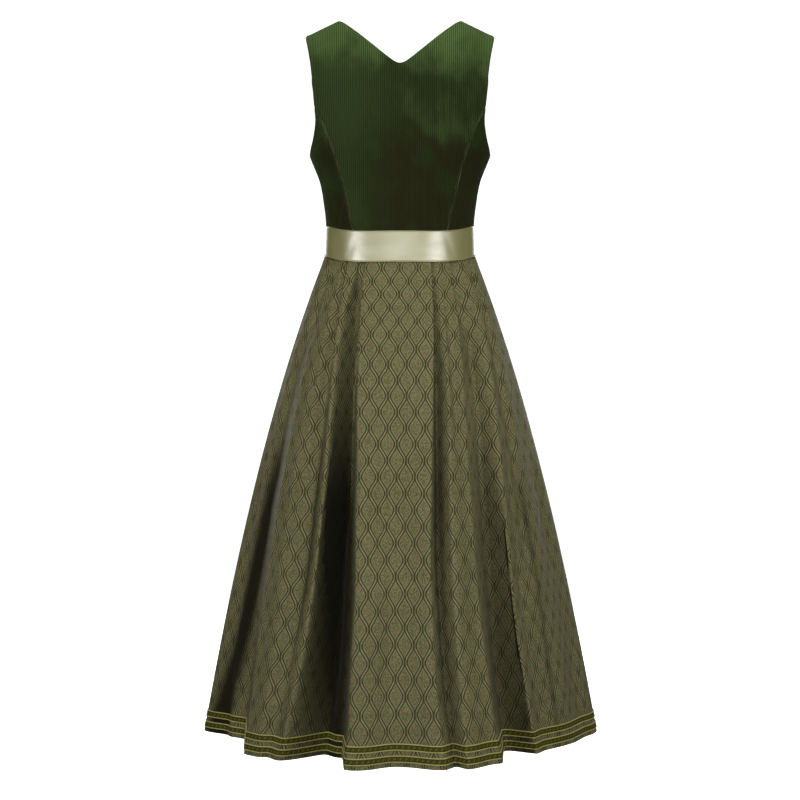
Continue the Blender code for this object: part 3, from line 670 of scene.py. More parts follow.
def bodice_panel(name, half, inside, spread, sign, sizes, offset):
    """A panel of corduroy whose mesh columns follow its ribs, cut to its outline.

    inside says how far a point lies inside the outline, spread how far the cloth reaches from its
    grain line, sign is 1 for the wearer's right and -1 for the left, and offset moves the weave.
    """
    step = sizes.wale_pitch / WALE_COLUMNS
    first, last = (round(limit / step) for limit in spread)
    columns, lows, highs = cut_columns(half, inside, np.arange(first, last + 1) * step)
    share = 0.5 - 0.5 * np.cos(np.linspace(0.0, math.pi, BODICE_ROWS))
    share = mix(share, np.linspace(0.0, 1.0, BODICE_ROWS), BODICE_EVENNESS)[:, None]
    z = mix(highs[None, :], lows[None, :], share)
    u = np.broadcast_to(columns[None, :], z.shape).copy()
    reach = u if inside is centre_inside else u + half.middle(z)
    turn = half.angle_at(np.abs(reach), z) * np.sign(np.where(reach == 0.0, 1.0, reach))
    surface = bodice_point(half.angle(turn), z)
    normals = grid_normals(surface)
    if np.einsum("ijk,ijk->ij", normals[:, :, :2], surface[:, :, :2]).sum() < 0.0:
        normals = -normals
    x = surface[..., 0]
    on_ridge = (shoulder_z(x) - surface[..., 2] < 2.0 * SEAM_GAP) & (np.abs(x) > NECK_HALF)
    lean = SHOULDER_DROP / (SHOULDER_HALF - NECK_HALF) * np.sign(x)
    ridge = np.stack((lean, np.zeros_like(lean), np.ones_like(lean)), axis=-1)
    normals = np.where(on_ridge[..., None], ridge / np.linalg.norm(ridge, axis=2, keepdims=True), normals)

    top, seam = inside(half, u, z)
    around = reach * (sign if inside is side_inside or half.side == 2 else 1.0)
    height = np.zeros_like(z)
    facing = 1 if half.side == 1 else -1
    for which, place, middle, length, width, slant, fold in BODICE_CREASES:
        if which == facing:
            across, along = leaning(around - place, z - middle, slant)
            height -= fold * bell(across, width) * bell(along, length)
    height -= sizes.seam_depth * bell(np.maximum(seam, 0.0), SEAM_DIP_WIDTH)
    welt, welt_place, welt_width = SEAM_WELT
    height += welt * bell(seam - welt_place, welt_width)
    wall = sizes.bodice_wall
    rounding = np.clip(1.0 - top / CUT_ROUNDING, 0.0, 1.0)
    height -= np.where(on_ridge, 0.0, CUT_ROLL * wall * (1.0 - np.sqrt(1.0 - rounding ** 2)))
    ribs = np.abs(np.cos(math.pi * (u / sizes.wale_pitch - 0.5))) ** RIB_POWER
    relief = sizes.wale_height * (ribs - 1.0) * ease(np.minimum(top, seam) / RIB_FADE)
    flip = np.array((sign, 1.0, 1.0))
    outer = (surface + (0.5 * wall + height + relief)[..., None] * normals) * flip
    inner = (surface + (height - 0.5 * wall)[..., None] * normals) * flip
    uv = np.stack((u + offset, z), axis=-1)
    # a painted highlight along each seam, which the corduroy's material reads
    highlight_place, highlight_width = SEAM_HIGHLIGHT
    piece = add_wall(name, outer, inner, uv, shade=("seam_highlight", bell(seam - highlight_place, highlight_width)))
    width, length = (float(np.ptp(uv[:, :, part])) for part in (0, 1))
    return piece


# ---------------------------------------------------------------- skirt
def flare(drop):
    """Half width of the skirt at a drop below the waist seam."""
    hip = SKIRT_HIP * (1.0 - math.exp(-drop / SKIRT_HIP_REACH))
    return SKIRT_WAIST_HALF + SKIRT_FLARE * drop + hip + SKIRT_EASE * math.exp(-drop / SKIRT_EASE_REACH)


def between(at_waist, at_middle, at_hem, share):
    """A value on the curve through its three known places down the skirt."""
    m = MIDDLE_SHARE
    return (at_waist * (share - m) * (share - 1.0) / m + at_middle * share * (share - 1.0) / (m * (m - 1.0))
            + at_hem * share * (share - m) / (1.0 - m))


def stand_off(at_middle, at_hem, share):
    """Distance of a fold off the oval, which starts where the cloth comes free of the sash."""
    return between(0.0, at_middle, at_hem, share) * ease(share / FREE_SHARE)


def bend_radius(bend, share):
    """Radius of a pleat's bends, which is half a layer at the waist."""
    return mix(0.5 * PLEAT_LAYER, bend, share)


class Section:
    """The skirt's middle line at one height, as stations of angle and distance off an oval."""

    def __init__(self, share):
        self.share = share
        half_width = flare(share * SKIRT_LENGTH)
        grown = (half_width - flare(0.0)) / (flare(SKIRT_LENGTH) - flare(0.0))
        self.sizes = (half_width, mix(*SKIRT_BACK_DEPTH, grown), mix(*SKIRT_FRONT_DEPTH, grown))

    def along(self, angle):
        """Metres along the oval for each degree, as a vector."""
        return (oval(angle + 0.25, *self.sizes) - oval(angle - 0.25, *self.sizes)) / 0.5

    def opening(self, closed, at_middle, at_hem):
        """A value that leaves that of a closed pleat a third of the way down."""
        m = MIDDLE_SHARE
        if self.share < m:
            return mix(closed, at_middle, float(ease(self.share / m)))
        return mix(at_middle, at_hem, (self.share - m) / (1.0 - m))

    def step(self, bend, deep_middle, deep_hem, steep_middle, steep_hem):
        """Turn of a pleat's bends, and length of the straight stretch between them."""
        stretches = []
        for deep, steep, share in ((deep_middle, steep_middle, MIDDLE_SHARE), (deep_hem, steep_hem, 1.0)):
            turn = math.radians(steep)
            bends = 2.0 * bend_radius(bend, share) * (1.0 - math.cos(turn))
            length = max((deep - bends) / math.sin(turn), SHORTEST_STEP)
            stretches.append(np.array((math.cos(turn), math.sin(turn))) * length)
        run, fall = self.opening(np.array((-PLEAT_LAP, 0.0)), *stretches)
        return math.atan2(fall, run), math.hypot(run, fall)

    def pleat(self, row):
        """Stations through a pleat: flat over the fold, a bend, the step under it, a bend back."""
        waist, middle, hem, out_middle, out_hem, *steps, bend, side = row
        edge = between(waist, middle, hem, self.share)
        turn, straight = self.step(bend, *steps)
        radius = bend_radius(bend, self.share)
        part = turn / ARC_STEPS
        chord = 2.0 * radius * math.sin(0.5 * part)
        into = [(chord, part * (i + 0.5)) for i in range(ARC_STEPS)]
        moves = into + [(straight, turn)] + [(chord, turn - heading) for _, heading in into]
        under = -sum(length * math.cos(heading) for length, heading in moves)
        flat = (max(under, 0.0) + PLEAT_LAYER, 0.0)
        reach = np.linalg.norm(self.along(edge))
        stations = [(edge - side * flat[0] / reach, stand_off(out_middle, out_hem, self.share))]
        for length, heading in [flat] + moves + [flat]:
            angle, height = stations[-1]
            angle += side * length * math.cos(heading) / reach
            stations.append((angle, height - length * math.sin(heading)))
        # which stations the panels beside it show from, and where the pattern starts afresh
        last = len(stations) - 1
        marks = (1, last, ARC_STEPS + 2) if side == 1 else (0, last - 1, last - ARC_STEPS - 2)
        return stations[::side], marks

    def line(self, start, end):
        """Stations from one side seam to the other, and the marks of each pleat among them."""
        folds = [(row[2], *self.pleat(row)) for row in PLEATS]
        for waist, middle, hem, out_middle, out_hem in WAVES:
            station = between(waist, middle, hem, self.share), stand_off(out_middle, out_hem, self.share)
            folds.append((hem, [station], None))
        folds = sorted((fold for fold in folds if start <= fold[0] <= end), key=lambda fold: fold[0])
        line, marks = [], []
        for index, (_, stations, pleat_marks) in enumerate(folds):
            if index:
                (angle, out), (next_angle, next_out) = line[-1], stations[0]
                for i in range(1, PANEL_STEPS):
                    t = i / PANEL_STEPS
                    line.append((mix(angle, next_angle, t), mix(out, next_out, float(ease(t)))))
            if pleat_marks:
                marks.append([len(line) + mark for mark in pleat_marks])
            line += stations
        return np.array(line), marks


def metres_per_degree(share):
    return math.radians(1.0) * flare(share * SKIRT_LENGTH)


def skirt_creases(angle, share):
    """How far the small creases move the cloth of the skirt out, at stations of one height."""
    out = np.zeros_like(angle)
    metres = metres_per_degree(share)
    for waist, middle, hem, start, end, width, depth in SKIRT_CREASES:
        long = float(ease((share - start) / CREASE_STARTS + (1.0 if start == 0.0 else 0.0)))
        long *= float(ease((end - share) / CREASE_ENDS)) if end < 1.0 else 1.0
        spread = width * (CREASE_WIDTHS[0] + CREASE_WIDTHS[1] * share)
        out -= depth * long * bell((angle - between(waist, middle, hem, share)) * metres, spread)
    depth, reach = GATHERS
    held_in = math.exp(-share * SKIRT_LENGTH / reach)
    out += depth * held_in * np.sin(angle * 1.9 + 2.0 * np.sin(angle * 0.31))
    sway = np.sin(angle * 0.23 + 9.0 * share) * np.sin(angle * 0.071 + 14.0 * share + 1.3)
    return out + SWAY * share * sway


def level_normals(line):
    """Level normals of a line from one side seam to the other, longer where it bends sharply."""
    step = np.diff(line[:, :2], axis=0)
    step /= np.maximum(np.linalg.norm(step, axis=1, keepdims=True), 1e-9)
    face = np.stack((step[:, 1], -step[:, 0]), axis=1)
    normals = np.concatenate((face[:1], face[:-1] + face[1:], face[-1:]))
    normals /= np.linalg.norm(normals, axis=1, keepdims=True)
    cosine = np.einsum("ij,ij->i", normals[1:-1], face[1:])
    normals[1:-1] /= np.maximum(cosine, SHARPEST_COSINE)[:, None]
    normals[[0, -1]] = np.stack((np.sign(line[[0, -1], 0]), np.zeros(2)), axis=1)
    return np.concatenate((normals, np.zeros((len(line), 1))), axis=1)


def openness(line):
    """Share of the level directions out from each point of a line that no other fold hides."""
    flat = line[:, :2]
    outward = flat / np.linalg.norm(flat, axis=1, keepdims=True)
    away = flat[None, :, :] - flat[:, None, :]
    ahead = np.einsum("ijk,ik->ij", away, outward)
    beside = away[:, :, 1] * outward[:, None, 0] - away[:, :, 0] * outward[:, None, 1]
    turn = np.arctan2(np.abs(beside), ahead)
    sights = [np.where(hand * beside > SIGHT_MARGIN, turn, 0.5 * math.pi).min(axis=1) for hand in (1, -1)]
    return sum(np.minimum(sight, 0.5 * math.pi) for sight in sights) / math.pi


def skirt_shades(angle, share):
    """How much painted shade darkens the cloth in the listed bands, at stations of one height."""
    dark = np.zeros_like(angle)
    for waist, middle, hem, start, width, strength in SKIRT_SHADES:
        across = (angle - between(waist, middle, hem, share)) * metres_per_degree(share)
        dark += strength * float(ease((share - start) / SHADE_STARTS)) * bell(across, width)
    return dark


def skirt_row(drop, start, end):
    """Middle line of the skirt at a drop, its normals, its pleats' marks and how open it lies, less the bands
    of painted shade.
    """
    share = drop / SKIRT_LENGTH
    section = Section(share)
    stations, marks = section.line(start, end)
    angle = stations[:, 0]
    along = section.along(angle)
    outward = np.stack((along[:, 1], -along[:, 0]), axis=1) / np.linalg.norm(along, axis=1, keepdims=True)
    flat = oval(angle, *section.sizes) + stations[:, 1:] * outward
    z = mix(waist_seam_z(angle), WAIST_Z, float(ease(share / DIP_SHARE))) - drop
    line = np.column_stack((flat, z))
    normals = level_normals(line)
    seam = ease(np.minimum(angle - start, end - angle) / SEAM_CALM)
    line = line + (skirt_creases(angle, share) * seam)[:, None] * normals
    for last, beside in ((0, 1), (-1, -2)):
        step = line[beside] - line[last]
        line[last] += step * 0.5 * SEWN_GAP / np.linalg.norm(step)
    return line, level_normals(line), marks, openness(line) - skirt_shades(angle, share)


def skirt_drops():
    """Heights of the skirt's rows, closer together under the waist seam."""
    power, bunched = SKIRT_BUNCHING
    even = np.linspace(0.0, 1.0, SKIRT_ROWS)
    return SKIRT_LENGTH * mix(even, even ** power, bunched)


def skirt_half(name, start, end, sizes):
    """One half of the skirt, its cloth's pattern hung on the middle of each panel between pleats."""
    lines, normals, marks, open_air = zip(*(skirt_row(drop, start, end) for drop in skirt_drops()))
    middle, marks = np.array(lines), marks[0]
    middle[0, :, 2] -= 0.5 * SEAM_GAP
    round_it = metres_round(middle[:, :, :2])
    last = middle.shape[1] - 1
    starts = [0] + [mark[1] for mark in marks]
    ends = [mark[0] for mark in marks] + [last]
    breaks = [0] + [mark[2] for mark in marks] + [last + 1]
    before, after = np.zeros_like(round_it), np.zeros_like(round_it)
    for first, final, low, high in zip(starts, ends, breaks, breaks[1:]):
        grain = 0.5 * (round_it[:, first] + round_it[:, final])[:, None]
        after[:, low:high] = round_it[:, low:high] - grain
        upto = min(high + 1, last + 1)
        before[:, low + 1:upto] = round_it[:, low + 1:upto] - grain
    before[:, 0] = after[:, 0]
    wide = np.array([Section(drop / SKIRT_LENGTH).sizes[0] for drop in skirt_drops()])
    down = np.concatenate(([0.0], np.cumsum(np.hypot(np.diff(skirt_drops()), SLOPE_SHARE * np.diff(wide)))))
    down = np.broadcast_to(down[:, None], round_it.shape)
    half = 0.5 * sizes.skirt_wall * np.array(normals)
    # the open_air attribute holds how open the folds lie, less the bands of painted shade; the brocade paints
    # shade from it
    piece = add_wall(name, middle + half, middle - half, np.stack((before, down), axis=-1),
                     np.stack((after, down), axis=-1), shade=("open_air", np.array(open_air)))
    return piece


# ---------------------------------------------------------------- hem braids
def hem_braid(name, sizes):
    """A woven braid with two corded edges, laid round the skirt above its hem."""
    low, high = (corner[2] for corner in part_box(name))
    height = high - low
    cord = sizes.braid_cord
    wall = 0.5 * sizes.skirt_wall + SEAM_GAP
    velvet = np.linspace(cord, height - cord, VELVET_ROWS)[1:-1]
    across = np.concatenate((CORD_STEPS * cord, velvet, height - cord + CORD_STEPS * cord))
    low_rise, more = CORD_RISE
    rise = low_rise + more * np.sqrt(np.maximum(1.0 - (2.0 * CORD_STEPS - 1.0) ** 2, 0.0))
    proud = np.concatenate((rise, np.full(len(velvet), BRAID_RISE), rise))
    outer, inner = [], []
    for place, out in zip(across, proud):
        drop = WAIST_Z - (high - place)
        halves = [skirt_row(drop, -90.0, 90.0), skirt_row(drop, 90.0, 270.0)]
        line = np.concatenate([half[0][:-1] for half in halves])
        normals = np.concatenate([half[1][:-1] for half in halves])
        line[:, 2] = high - place
        outer.append(line + (wall + out) * normals)
        inner.append(line + wall * normals)
    outer, inner = np.array(outer), np.array(inner)
    round_it = metres_round(np.concatenate((outer, outer[:, :1]), axis=1)[:, :, :2])
    down = np.broadcast_to(across[:, None], outer.shape[:2])
    uv_after = np.stack((round_it[:, :-1], down), axis=-1)
    uv = uv_after.copy()
    uv[:, 0, 0] = round_it[:, -1]
    piece = add_wall(name, outer, inner, uv, uv_after, ring=True)
    return piece


# ---------------------------------------------------------------- sash
def waist_sash(name):
    """A satin band round the waist with rolled edges, its end lapped over its start."""
    lap = math.degrees(SASH_LAP / SASH_TOP_HALF[0])
    roll = ROLL_STEPS * SASH_EDGE
    flat_part = np.linspace(roll[-1], SASH_HEIGHT - roll[-1], SASH_ROWS)[1:-1]
    down = np.concatenate((roll, flat_part, SASH_HEIGHT - roll[::-1]))
    turned = np.linspace(0.0, 360.0 + lap, SASH_COLUMNS)
    angle, fall = np.meshgrid(SASH_LAP_ANGLE + turned, down)
    over = (SASH_WALL + SEAM_GAP) * ease((turned - 360.0 + lap) / lap)
    over = np.where(turned > 360.0 - lap, over, 0.0)[None, :]
    share = fall / SASH_HEIGHT
    half = [mix(top, low, share) for top, low in zip(SASH_TOP_HALF, SASH_BOTTOM_HALF)]
    wave = np.zeros_like(angle)
    for place, slant, width, depth in SASH_CREASES:
        away = (np.mod(angle - place + 180.0, 360.0) - 180.0) * math.radians(1.0) * SASH_TOP_HALF[0]
        across, _ = leaning(away, 0.5 * SASH_HEIGHT - fall, slant)
        wave -= depth * bell(across, width) * np.sin(math.pi * share) ** 0.5
    inner_out = over + np.maximum(wave, 0.0)
    near = np.minimum(fall, SASH_HEIGHT - fall)
    welt = SASH_WELT * np.sqrt(np.clip(1.0 - (near / SASH_EDGE - 0.5) ** 2 * 4.0, 0.0, 1.0))
    rounding = np.clip(1.0 - near / SASH_ROUNDING, 0.0, 1.0)
    rolled_in = SASH_ROLL * SASH_WALL * (1.0 - np.sqrt(1.0 - rounding ** 2))
    outer_out = over + SASH_WALL + wave * SASH_CREASE_SHOWS + welt - rolled_in
    z = waist_seam_z(angle) + SASH_RISE - fall
    faces = []
    for out in (outer_out, inner_out):
        flat = oval(angle, *(size + out for size in half))
        faces.append(np.concatenate((flat, z[..., None]), axis=2))
    round_it = metres_round(faces[0])
    piece = add_wall(name, *faces, np.stack((round_it, fall), axis=-1))
    return piece


# ---------------------------------------------------------------- materials
def linear(value):
    """Linear RGBA of an sRGB hex colour."""
    parts = [int(value[i:i + 2], 16) / 255.0 for i in (1, 3, 5)]
    return tuple(p / 12.92 if p <= 0.04045 else ((p + 0.055) / 1.055) ** 2.4 for p in parts) + (1.0,)


def new_material(name, **sockets):
    """A material with a Principled shader, and its node tree."""
    material = bpy.data.materials.new(name)
    material.use_nodes = True
    tree = material.node_tree
    shader = tree.nodes["Principled BSDF"]
    for socket, value in sockets.items():
        shader.inputs[socket.replace("_", " ")].default_value = value
    return material, tree, shader


def node(tree, kind, *values, output=None, **named):
    """Add a node and return one of its outputs, the first in use where none is named.

    The values set or link its inputs in their order. Of the named ones, those that start with a
    capital letter are inputs too, and the others are settings.
    """
    made = tree.nodes.new("ShaderNode" + kind)
    for name, value in named.items():
        if name[0].islower():
            setattr(made, name, value)
    inputs = list(zip([socket for socket in made.inputs if socket.enabled], values))
    inputs += [(made.inputs[name], value) for name, value in named.items() if name[0].isupper()]
    for socket, value in inputs:
        if isinstance(value, bpy.types.NodeSocket):
            tree.links.new(value, socket)
        else:
            socket.default_value = value
    return made.outputs[output] if output else next(socket for socket in made.outputs if socket.enabled)


def cloth_metres(tree):
    """The cloth's UV map in metres, and its two parts, along and down the cloth."""
    cloth = node(tree, "UVMap", uv_map="cloth")
    parts = node(tree, "SeparateXYZ", cloth).node
    return cloth, parts.outputs[0], parts.outputs[1]


def corduroy_material(colours, sizes):
    """Cut-pile cotton corduroy: dull, with light ribs, dark grooves with painted shade, a soft nap in random
    brushed patches, painted light towards the shoulders and on the wearer's left of the back, painted shade
    towards the waist and a painted highlight along the seams.
    """
    material, tree, shader = new_material("corduroy_cut_pile_cotton", Roughness=0.88, Sheen_Weight=0.10,
                                          Sheen_Roughness=0.45, Specular_IOR_Level=0.05,
                                          Sheen_Tint=linear(colours.pile_tips))
    cloth, along, height = cloth_metres(tree)
    # ribs by their real spacing
    phase = node(tree, "Math", along, math.pi / sizes.wale_pitch, operation="MULTIPLY")
    wave = node(tree, "Math", phase, operation="SINE")
    rib = node(tree, "Math", node(tree, "Math", wave, operation="ABSOLUTE"), 0.8, operation="POWER")
    # brushed places of the nap, long patches down the cloth
    long_patches = node(tree, "Mapping", cloth, Scale=(1.0, 0.8, 1.0))
    brushed = node(tree, "TexNoise", long_patches, Scale=15.0, Detail=5.0)
    streaks = node(tree, "TexNoise", node(tree, "Mapping", cloth, Scale=(1.0, 0.06, 1.0)), Scale=120.0)
    uneven = node(tree, "Math", streaks, 0.35, brushed, operation="MULTIPLY_ADD")
    nap = node(tree, "MapRange", uneven, 0.55, 0.95, 0.0, 0.35, **SMOOTH)
    # painted light: the pile is drawn lighter towards the shoulders, and painted shade darkens it towards the
    # waist, each in random patches
    patch = node(tree, "Math", brushed, 0.5, operation="SUBTRACT")
    patchy_height = node(tree, "Math", patch, 0.24, height, operation="MULTIPLY_ADD")
    painted_top_light = node(tree, "MapRange", patchy_height, *TOP_LIGHT_HEIGHTS, **SMOOTH)
    nap = node(tree, "Math", nap, painted_top_light, operation="MAXIMUM")
    # painted light: the wearer's left side of the back is drawn lighter and more green, and gets less of the
    # painted shade at the waist
    left, far_left = (node(tree, "MapRange", along, *ends, **SMOOTH) for ends in LEFT_SIDE_LIGHT)
    left = node(tree, "Math", left, far_left, operation="MULTIPLY")
    painted_side_light = node(tree, "Math", left, 0.30, operation="MULTIPLY")
    nap = node(tree, "Math", nap, painted_side_light, operation="MAXIMUM")
    pile = node(tree, "Mix", nap, linear(colours.pile), linear(colours.pile_nap_and_painted_light), **COLOURS)
    # painted shade: darker and browner towards the waist, in random patches, less on the wearer's left
    low = node(tree, "MapRange", patchy_height, *WAIST_SHADE_HEIGHTS, **SMOOTH)
    pressed = node(tree, "Math", low, node(tree, "MapRange", brushed, 0.32, 0.52, **SMOOTH),
                   operation="MULTIPLY")
    pressed = node(tree, "Math", pressed, node(tree, "MapRange", left, 0.0, 1.0, 0.85, 0.15, **SMOOTH),
                   operation="MULTIPLY")
    pile = node(tree, "Mix", pressed, pile, linear(colours.pile_waist_shade), **COLOURS)
    # the grooves between the ribs: the bare ground, darkened further by painted shade
    shade = node(tree, "MapRange", rib, 0.05, 0.85, **SMOOTH)
    colour = node(tree, "Mix", shade, linear(colours.ground_and_groove_shade), pile, **COLOURS)
    # painted highlight along the edge of each seam, broken up by streaks
    seam_highlight = node(tree, "Attribute", output="Fac", attribute_name="seam_highlight")
    highlight_strength = node(tree, "MapRange", streaks, 0.35, 0.65, 0.10, 0.60, **SMOOTH)
    rubbed = node(tree, "Math", seam_highlight, highlight_strength, operation="MULTIPLY")
    colour = node(tree, "Mix", rubbed, colour, linear(colours.seam_highlight), **COLOURS)
    tree.links.new(colour, shader.inputs["Base Color"])
    # fibres are about 0.02 mm thick and drawn at 0.3 mm, so that they show
    fibres = node(tree, "TexNoise", node(tree, "Mapping", cloth, Scale=(1.0, 0.35, 1.0)), Scale=3500.0)
    tree.links.new(node(tree, "Bump", Height=fibres, Distance=0.00025, Strength=0.6), shader.inputs["Normal"])
    return material


def corduroy_back_material(colours):
    """Plain-woven back of the corduroy: dull, even, with a fine thread."""
    material, tree, shader = new_material("corduroy_woven_back", Roughness=0.92, Sheen_Weight=0.1)
    cloth = cloth_metres(tree)[0]
    # threads are 0.3 mm apart and drawn at 1.1 mm, so that they show
    threads = node(tree, "TexNoise", node(tree, "Mapping", cloth, Scale=(1.0, 0.4, 1.0)), Scale=900.0)
    colour = node(tree, "Mix", threads, linear(colours.ground_and_groove_shade), linear(colours.pile), **COLOURS)
    tree.links.new(colour, shader.inputs["Base Color"])
    tree.links.new(node(tree, "Bump", Height=threads, Distance=0.0003, Strength=0.5), shader.inputs["Normal"])
    return material


def brocade_material(colours, sizes, face=True):
    """Jacquard-woven brocade: raised glossy lines on a dull ground. Its back is darker and flatter."""
    material, tree, shader = new_material("brocade_jacquard_woven" if face else "brocade_back",
                                          Sheen_Weight=0.02, Sheen_Roughness=0.4, Specular_IOR_Level=0.06)
    cloth, along, down = cloth_metres(tree)
    # thread wander, so that no line is ruler-straight
    wander = node(tree, "Math", node(tree, "TexNoise", cloth, Scale=220.0), 0.5, operation="SUBTRACT")
    shift = node(tree, "Math", wander, THREAD_WANDER, operation="MULTIPLY")
    across, fall = (
        node(tree, "Math", node(tree, "Math", metres, start, operation="ADD"), shift, operation="ADD")
        for metres, start in zip((along, down), MOTIF_START))
    repeat = node(tree, "Math", across, sizes.motif_width, operation="DIVIDE")
    turn = node(tree, "Math", fall, sizes.motif_height, operation="DIVIDE")
    turn = node(tree, "Math", turn, 2.0 * math.pi, operation="MULTIPLY")
    # ogee lattice: the edge of a cell swings between the middle line and half a repeat
    cell = node(tree, "Math", node(tree, "Math", repeat, 0.5, operation="ADD"), operation="FRACT")
    beside = node(tree, "Math", node(tree, "Math", cell, 0.5, operation="SUBTRACT"), operation="ABSOLUTE")
    swing = node(tree, "Math", turn, operation="COSINE")
    edge = node(tree, "Math", swing, LATTICE_SWING, 0.25, operation="MULTIPLY_ADD")
    # distance from that edge in metres, allowing for its slant
    steepest = LATTICE_SWING * 2.0 * math.pi * sizes.motif_width / sizes.motif_height
    slant = node(tree, "Math", node(tree, "Math", turn, operation="SINE"), steepest, operation="MULTIPLY")
    steep = node(tree, "Math", slant, slant, 1.0, operation="MULTIPLY_ADD")
    away = node(tree, "Math", node(tree, "Math", beside, edge, operation="SUBTRACT"), operation="ABSOLUTE")
    away = node(tree, "Math", away, sizes.motif_width, operation="MULTIPLY")
    away = node(tree, "Math", away, node(tree, "Math", steep, operation="SQRT"), operation="DIVIDE")
    # the light line sinks where two of them run together
    joint = node(tree, "MapRange", node(tree, "Math", swing, operation="ABSOLUTE"), 0.72, 0.97, **SMOOTH)
    left_light = node(tree, "Math", joint, -0.8, 1.0, operation="MULTIPLY_ADD")
    line = node(tree, "Math", node(tree, "MapRange", away, *LINE_EDGE, 1.0, 0.0, **SMOOTH), left_light,
                operation="MULTIPLY")
    groove = node(tree, "Math", node(tree, "MapRange", away, *GROOVE_START, **SMOOTH),
                  node(tree, "MapRange", away, *GROOVE_END, 1.0, 0.0, **SMOOTH), operation="MULTIPLY")
    sunk = node(tree, "Math", joint, node(tree, "MapRange", away, *JOINT_EDGE, 0.45, 0.0, **SMOOTH),
                operation="MULTIPLY")
    # small figures inside the cells: a speckle of floats about 2.1 mm apart
    specks = node(tree, "TexVoronoi", Vector=cloth, Scale=470.0, Randomness=0.9, feature="F1")
    speckle = node(tree, "Math", node(tree, "TexNoise", cloth, Scale=330.0), 0.7, specks,
                   operation="MULTIPLY_ADD")
    speckle = node(tree, "Math", node(tree, "MapRange", speckle, 0.55, 1.05, **SMOOTH),
                   node(tree, "MapRange", away, *CELL_START, **SMOOTH), operation="MULTIPLY")
    # twill lines of the weave are 0.5 mm apart and drawn at 0.9 mm, so that they show
    twill = node(tree, "Math", down, 0.7, along, operation="MULTIPLY_ADD")
    twill = node(tree, "Math", twill, 2.0 * math.pi / TWILL_PITCH, operation="MULTIPLY")
    twill = node(tree, "Math", twill, operation="SINE")
    # ground of the cells, unevenly dyed, with the warp showing through in places
    dark = linear(colours.outline)
    specked = node(tree, "Math", speckle, 0.62, operation="MULTIPLY")
    ground = node(tree, "Mix", specked, linear(colours.figure), dark, **COLOURS)
    dye = node(tree, "Math", node(tree, "TexNoise", cloth, Scale=14.0), 0.26, operation="MULTIPLY")
    ground = node(tree, "Mix", dye, ground, dark, **COLOURS)
    warp = node(tree, "TexNoise", cloth, Scale=55.0, Detail=1.0)
    warp = node(tree, "MapRange", warp, 0.50, 0.70, 0.0, 0.40, **SMOOTH)
    ground = node(tree, "Mix", warp, ground, linear(colours.rust), **COLOURS)
    colour = node(tree, "Mix", sunk, ground, dark, **COLOURS)
    sides = node(tree, "Math", groove, 0.90, operation="MULTIPLY")
    colour = node(tree, "Mix", sides, colour, dark, **COLOURS)
    colour = node(tree, "Mix", line, colour, linear(colours.lattice), **COLOURS)
    gloss = node(tree, "MapRange", line, 0.0, 1.0, 0.62, 0.45, **SMOOTH)
    if face:
        # painted shade: the cloth deep in a fold is drawn darker, and duller, as little light reaches it
        shown = node(tree, "Attribute", output="Fac", attribute_name="open_air")
        deep = node(tree, "Math", node(tree, "MapRange", shown, 0.08, 0.82, 0.94, 0.0, **SMOOTH),
                    node(tree, "MapRange", down, *FOLD_SHADE_DOWN, 0.10, 1.0, **SMOOTH), operation="MULTIPLY")
        colour = node(tree, "Mix", deep, colour, linear(colours.fold), **COLOURS)
        gloss = node(tree, "Math", gloss, deep, operation="MAXIMUM")
    else:
        colour = node(tree, "Mix", 0.55, colour, dark, **COLOURS)
    tree.links.new(colour, shader.inputs["Base Color"])
    tree.links.new(gloss, shader.inputs["Roughness"])
    height = node(tree, "Math", line, groove, operation="SUBTRACT")
    height = node(tree, "Math", twill, 0.08, height, operation="MULTIPLY_ADD")
    height = node(tree, "Math", speckle, -0.35, height, operation="MULTIPLY_ADD")
    bump = node(tree, "Bump", Height=height, Distance=0.0006, Strength=0.8 if face else 0.3)
    tree.links.new(bump, shader.inputs["Normal"])
    return material


def satin_material(colours):
    """Warp-faced satin: smooth, with a broad soft gloss along the band."""
    material, tree, shader = new_material("satin_warp_faced", Roughness=0.27, Specular_IOR_Level=1.0,
                                          Anisotropic=0.3)
    cloth = cloth_metres(tree)[0]
    weft = linear(colours.satin_weft)
    # slubs run along the band, 1.4 mm apart, and its threads of 0.1 mm are too fine to draw
    slubs = node(tree, "TexNoise", node(tree, "Mapping", cloth, Scale=(0.05, 1.0, 1.0)), Scale=700.0)
    cloud = node(tree, "TexNoise", node(tree, "Mapping", cloth, Scale=(0.6, 1.0, 1.0)), Scale=22.0)
    slub_tone = node(tree, "Math", slubs, 0.18, operation="MULTIPLY")
    colour = node(tree, "Mix", slub_tone, linear(colours.satin), weft, **COLOURS)
    cloud_tone = node(tree, "Math", cloud, 0.12, operation="MULTIPLY")
    colour = node(tree, "Mix", cloud_tone, colour, weft, **COLOURS)
    tree.links.new(colour, shader.inputs["Base Color"])
    soft = node(tree, "TexNoise", node(tree, "Mapping", cloth, Scale=(0.5, 1.0, 1.0)), Scale=30.0)
    height = node(tree, "Math", soft, 1.6, operation="MULTIPLY")
    height = node(tree, "Math", slubs, 0.12, height, operation="MULTIPLY_ADD")
    tree.links.new(node(tree, "Bump", Height=height, Distance=0.0008, Strength=0.35), shader.inputs["Normal"])
    return material


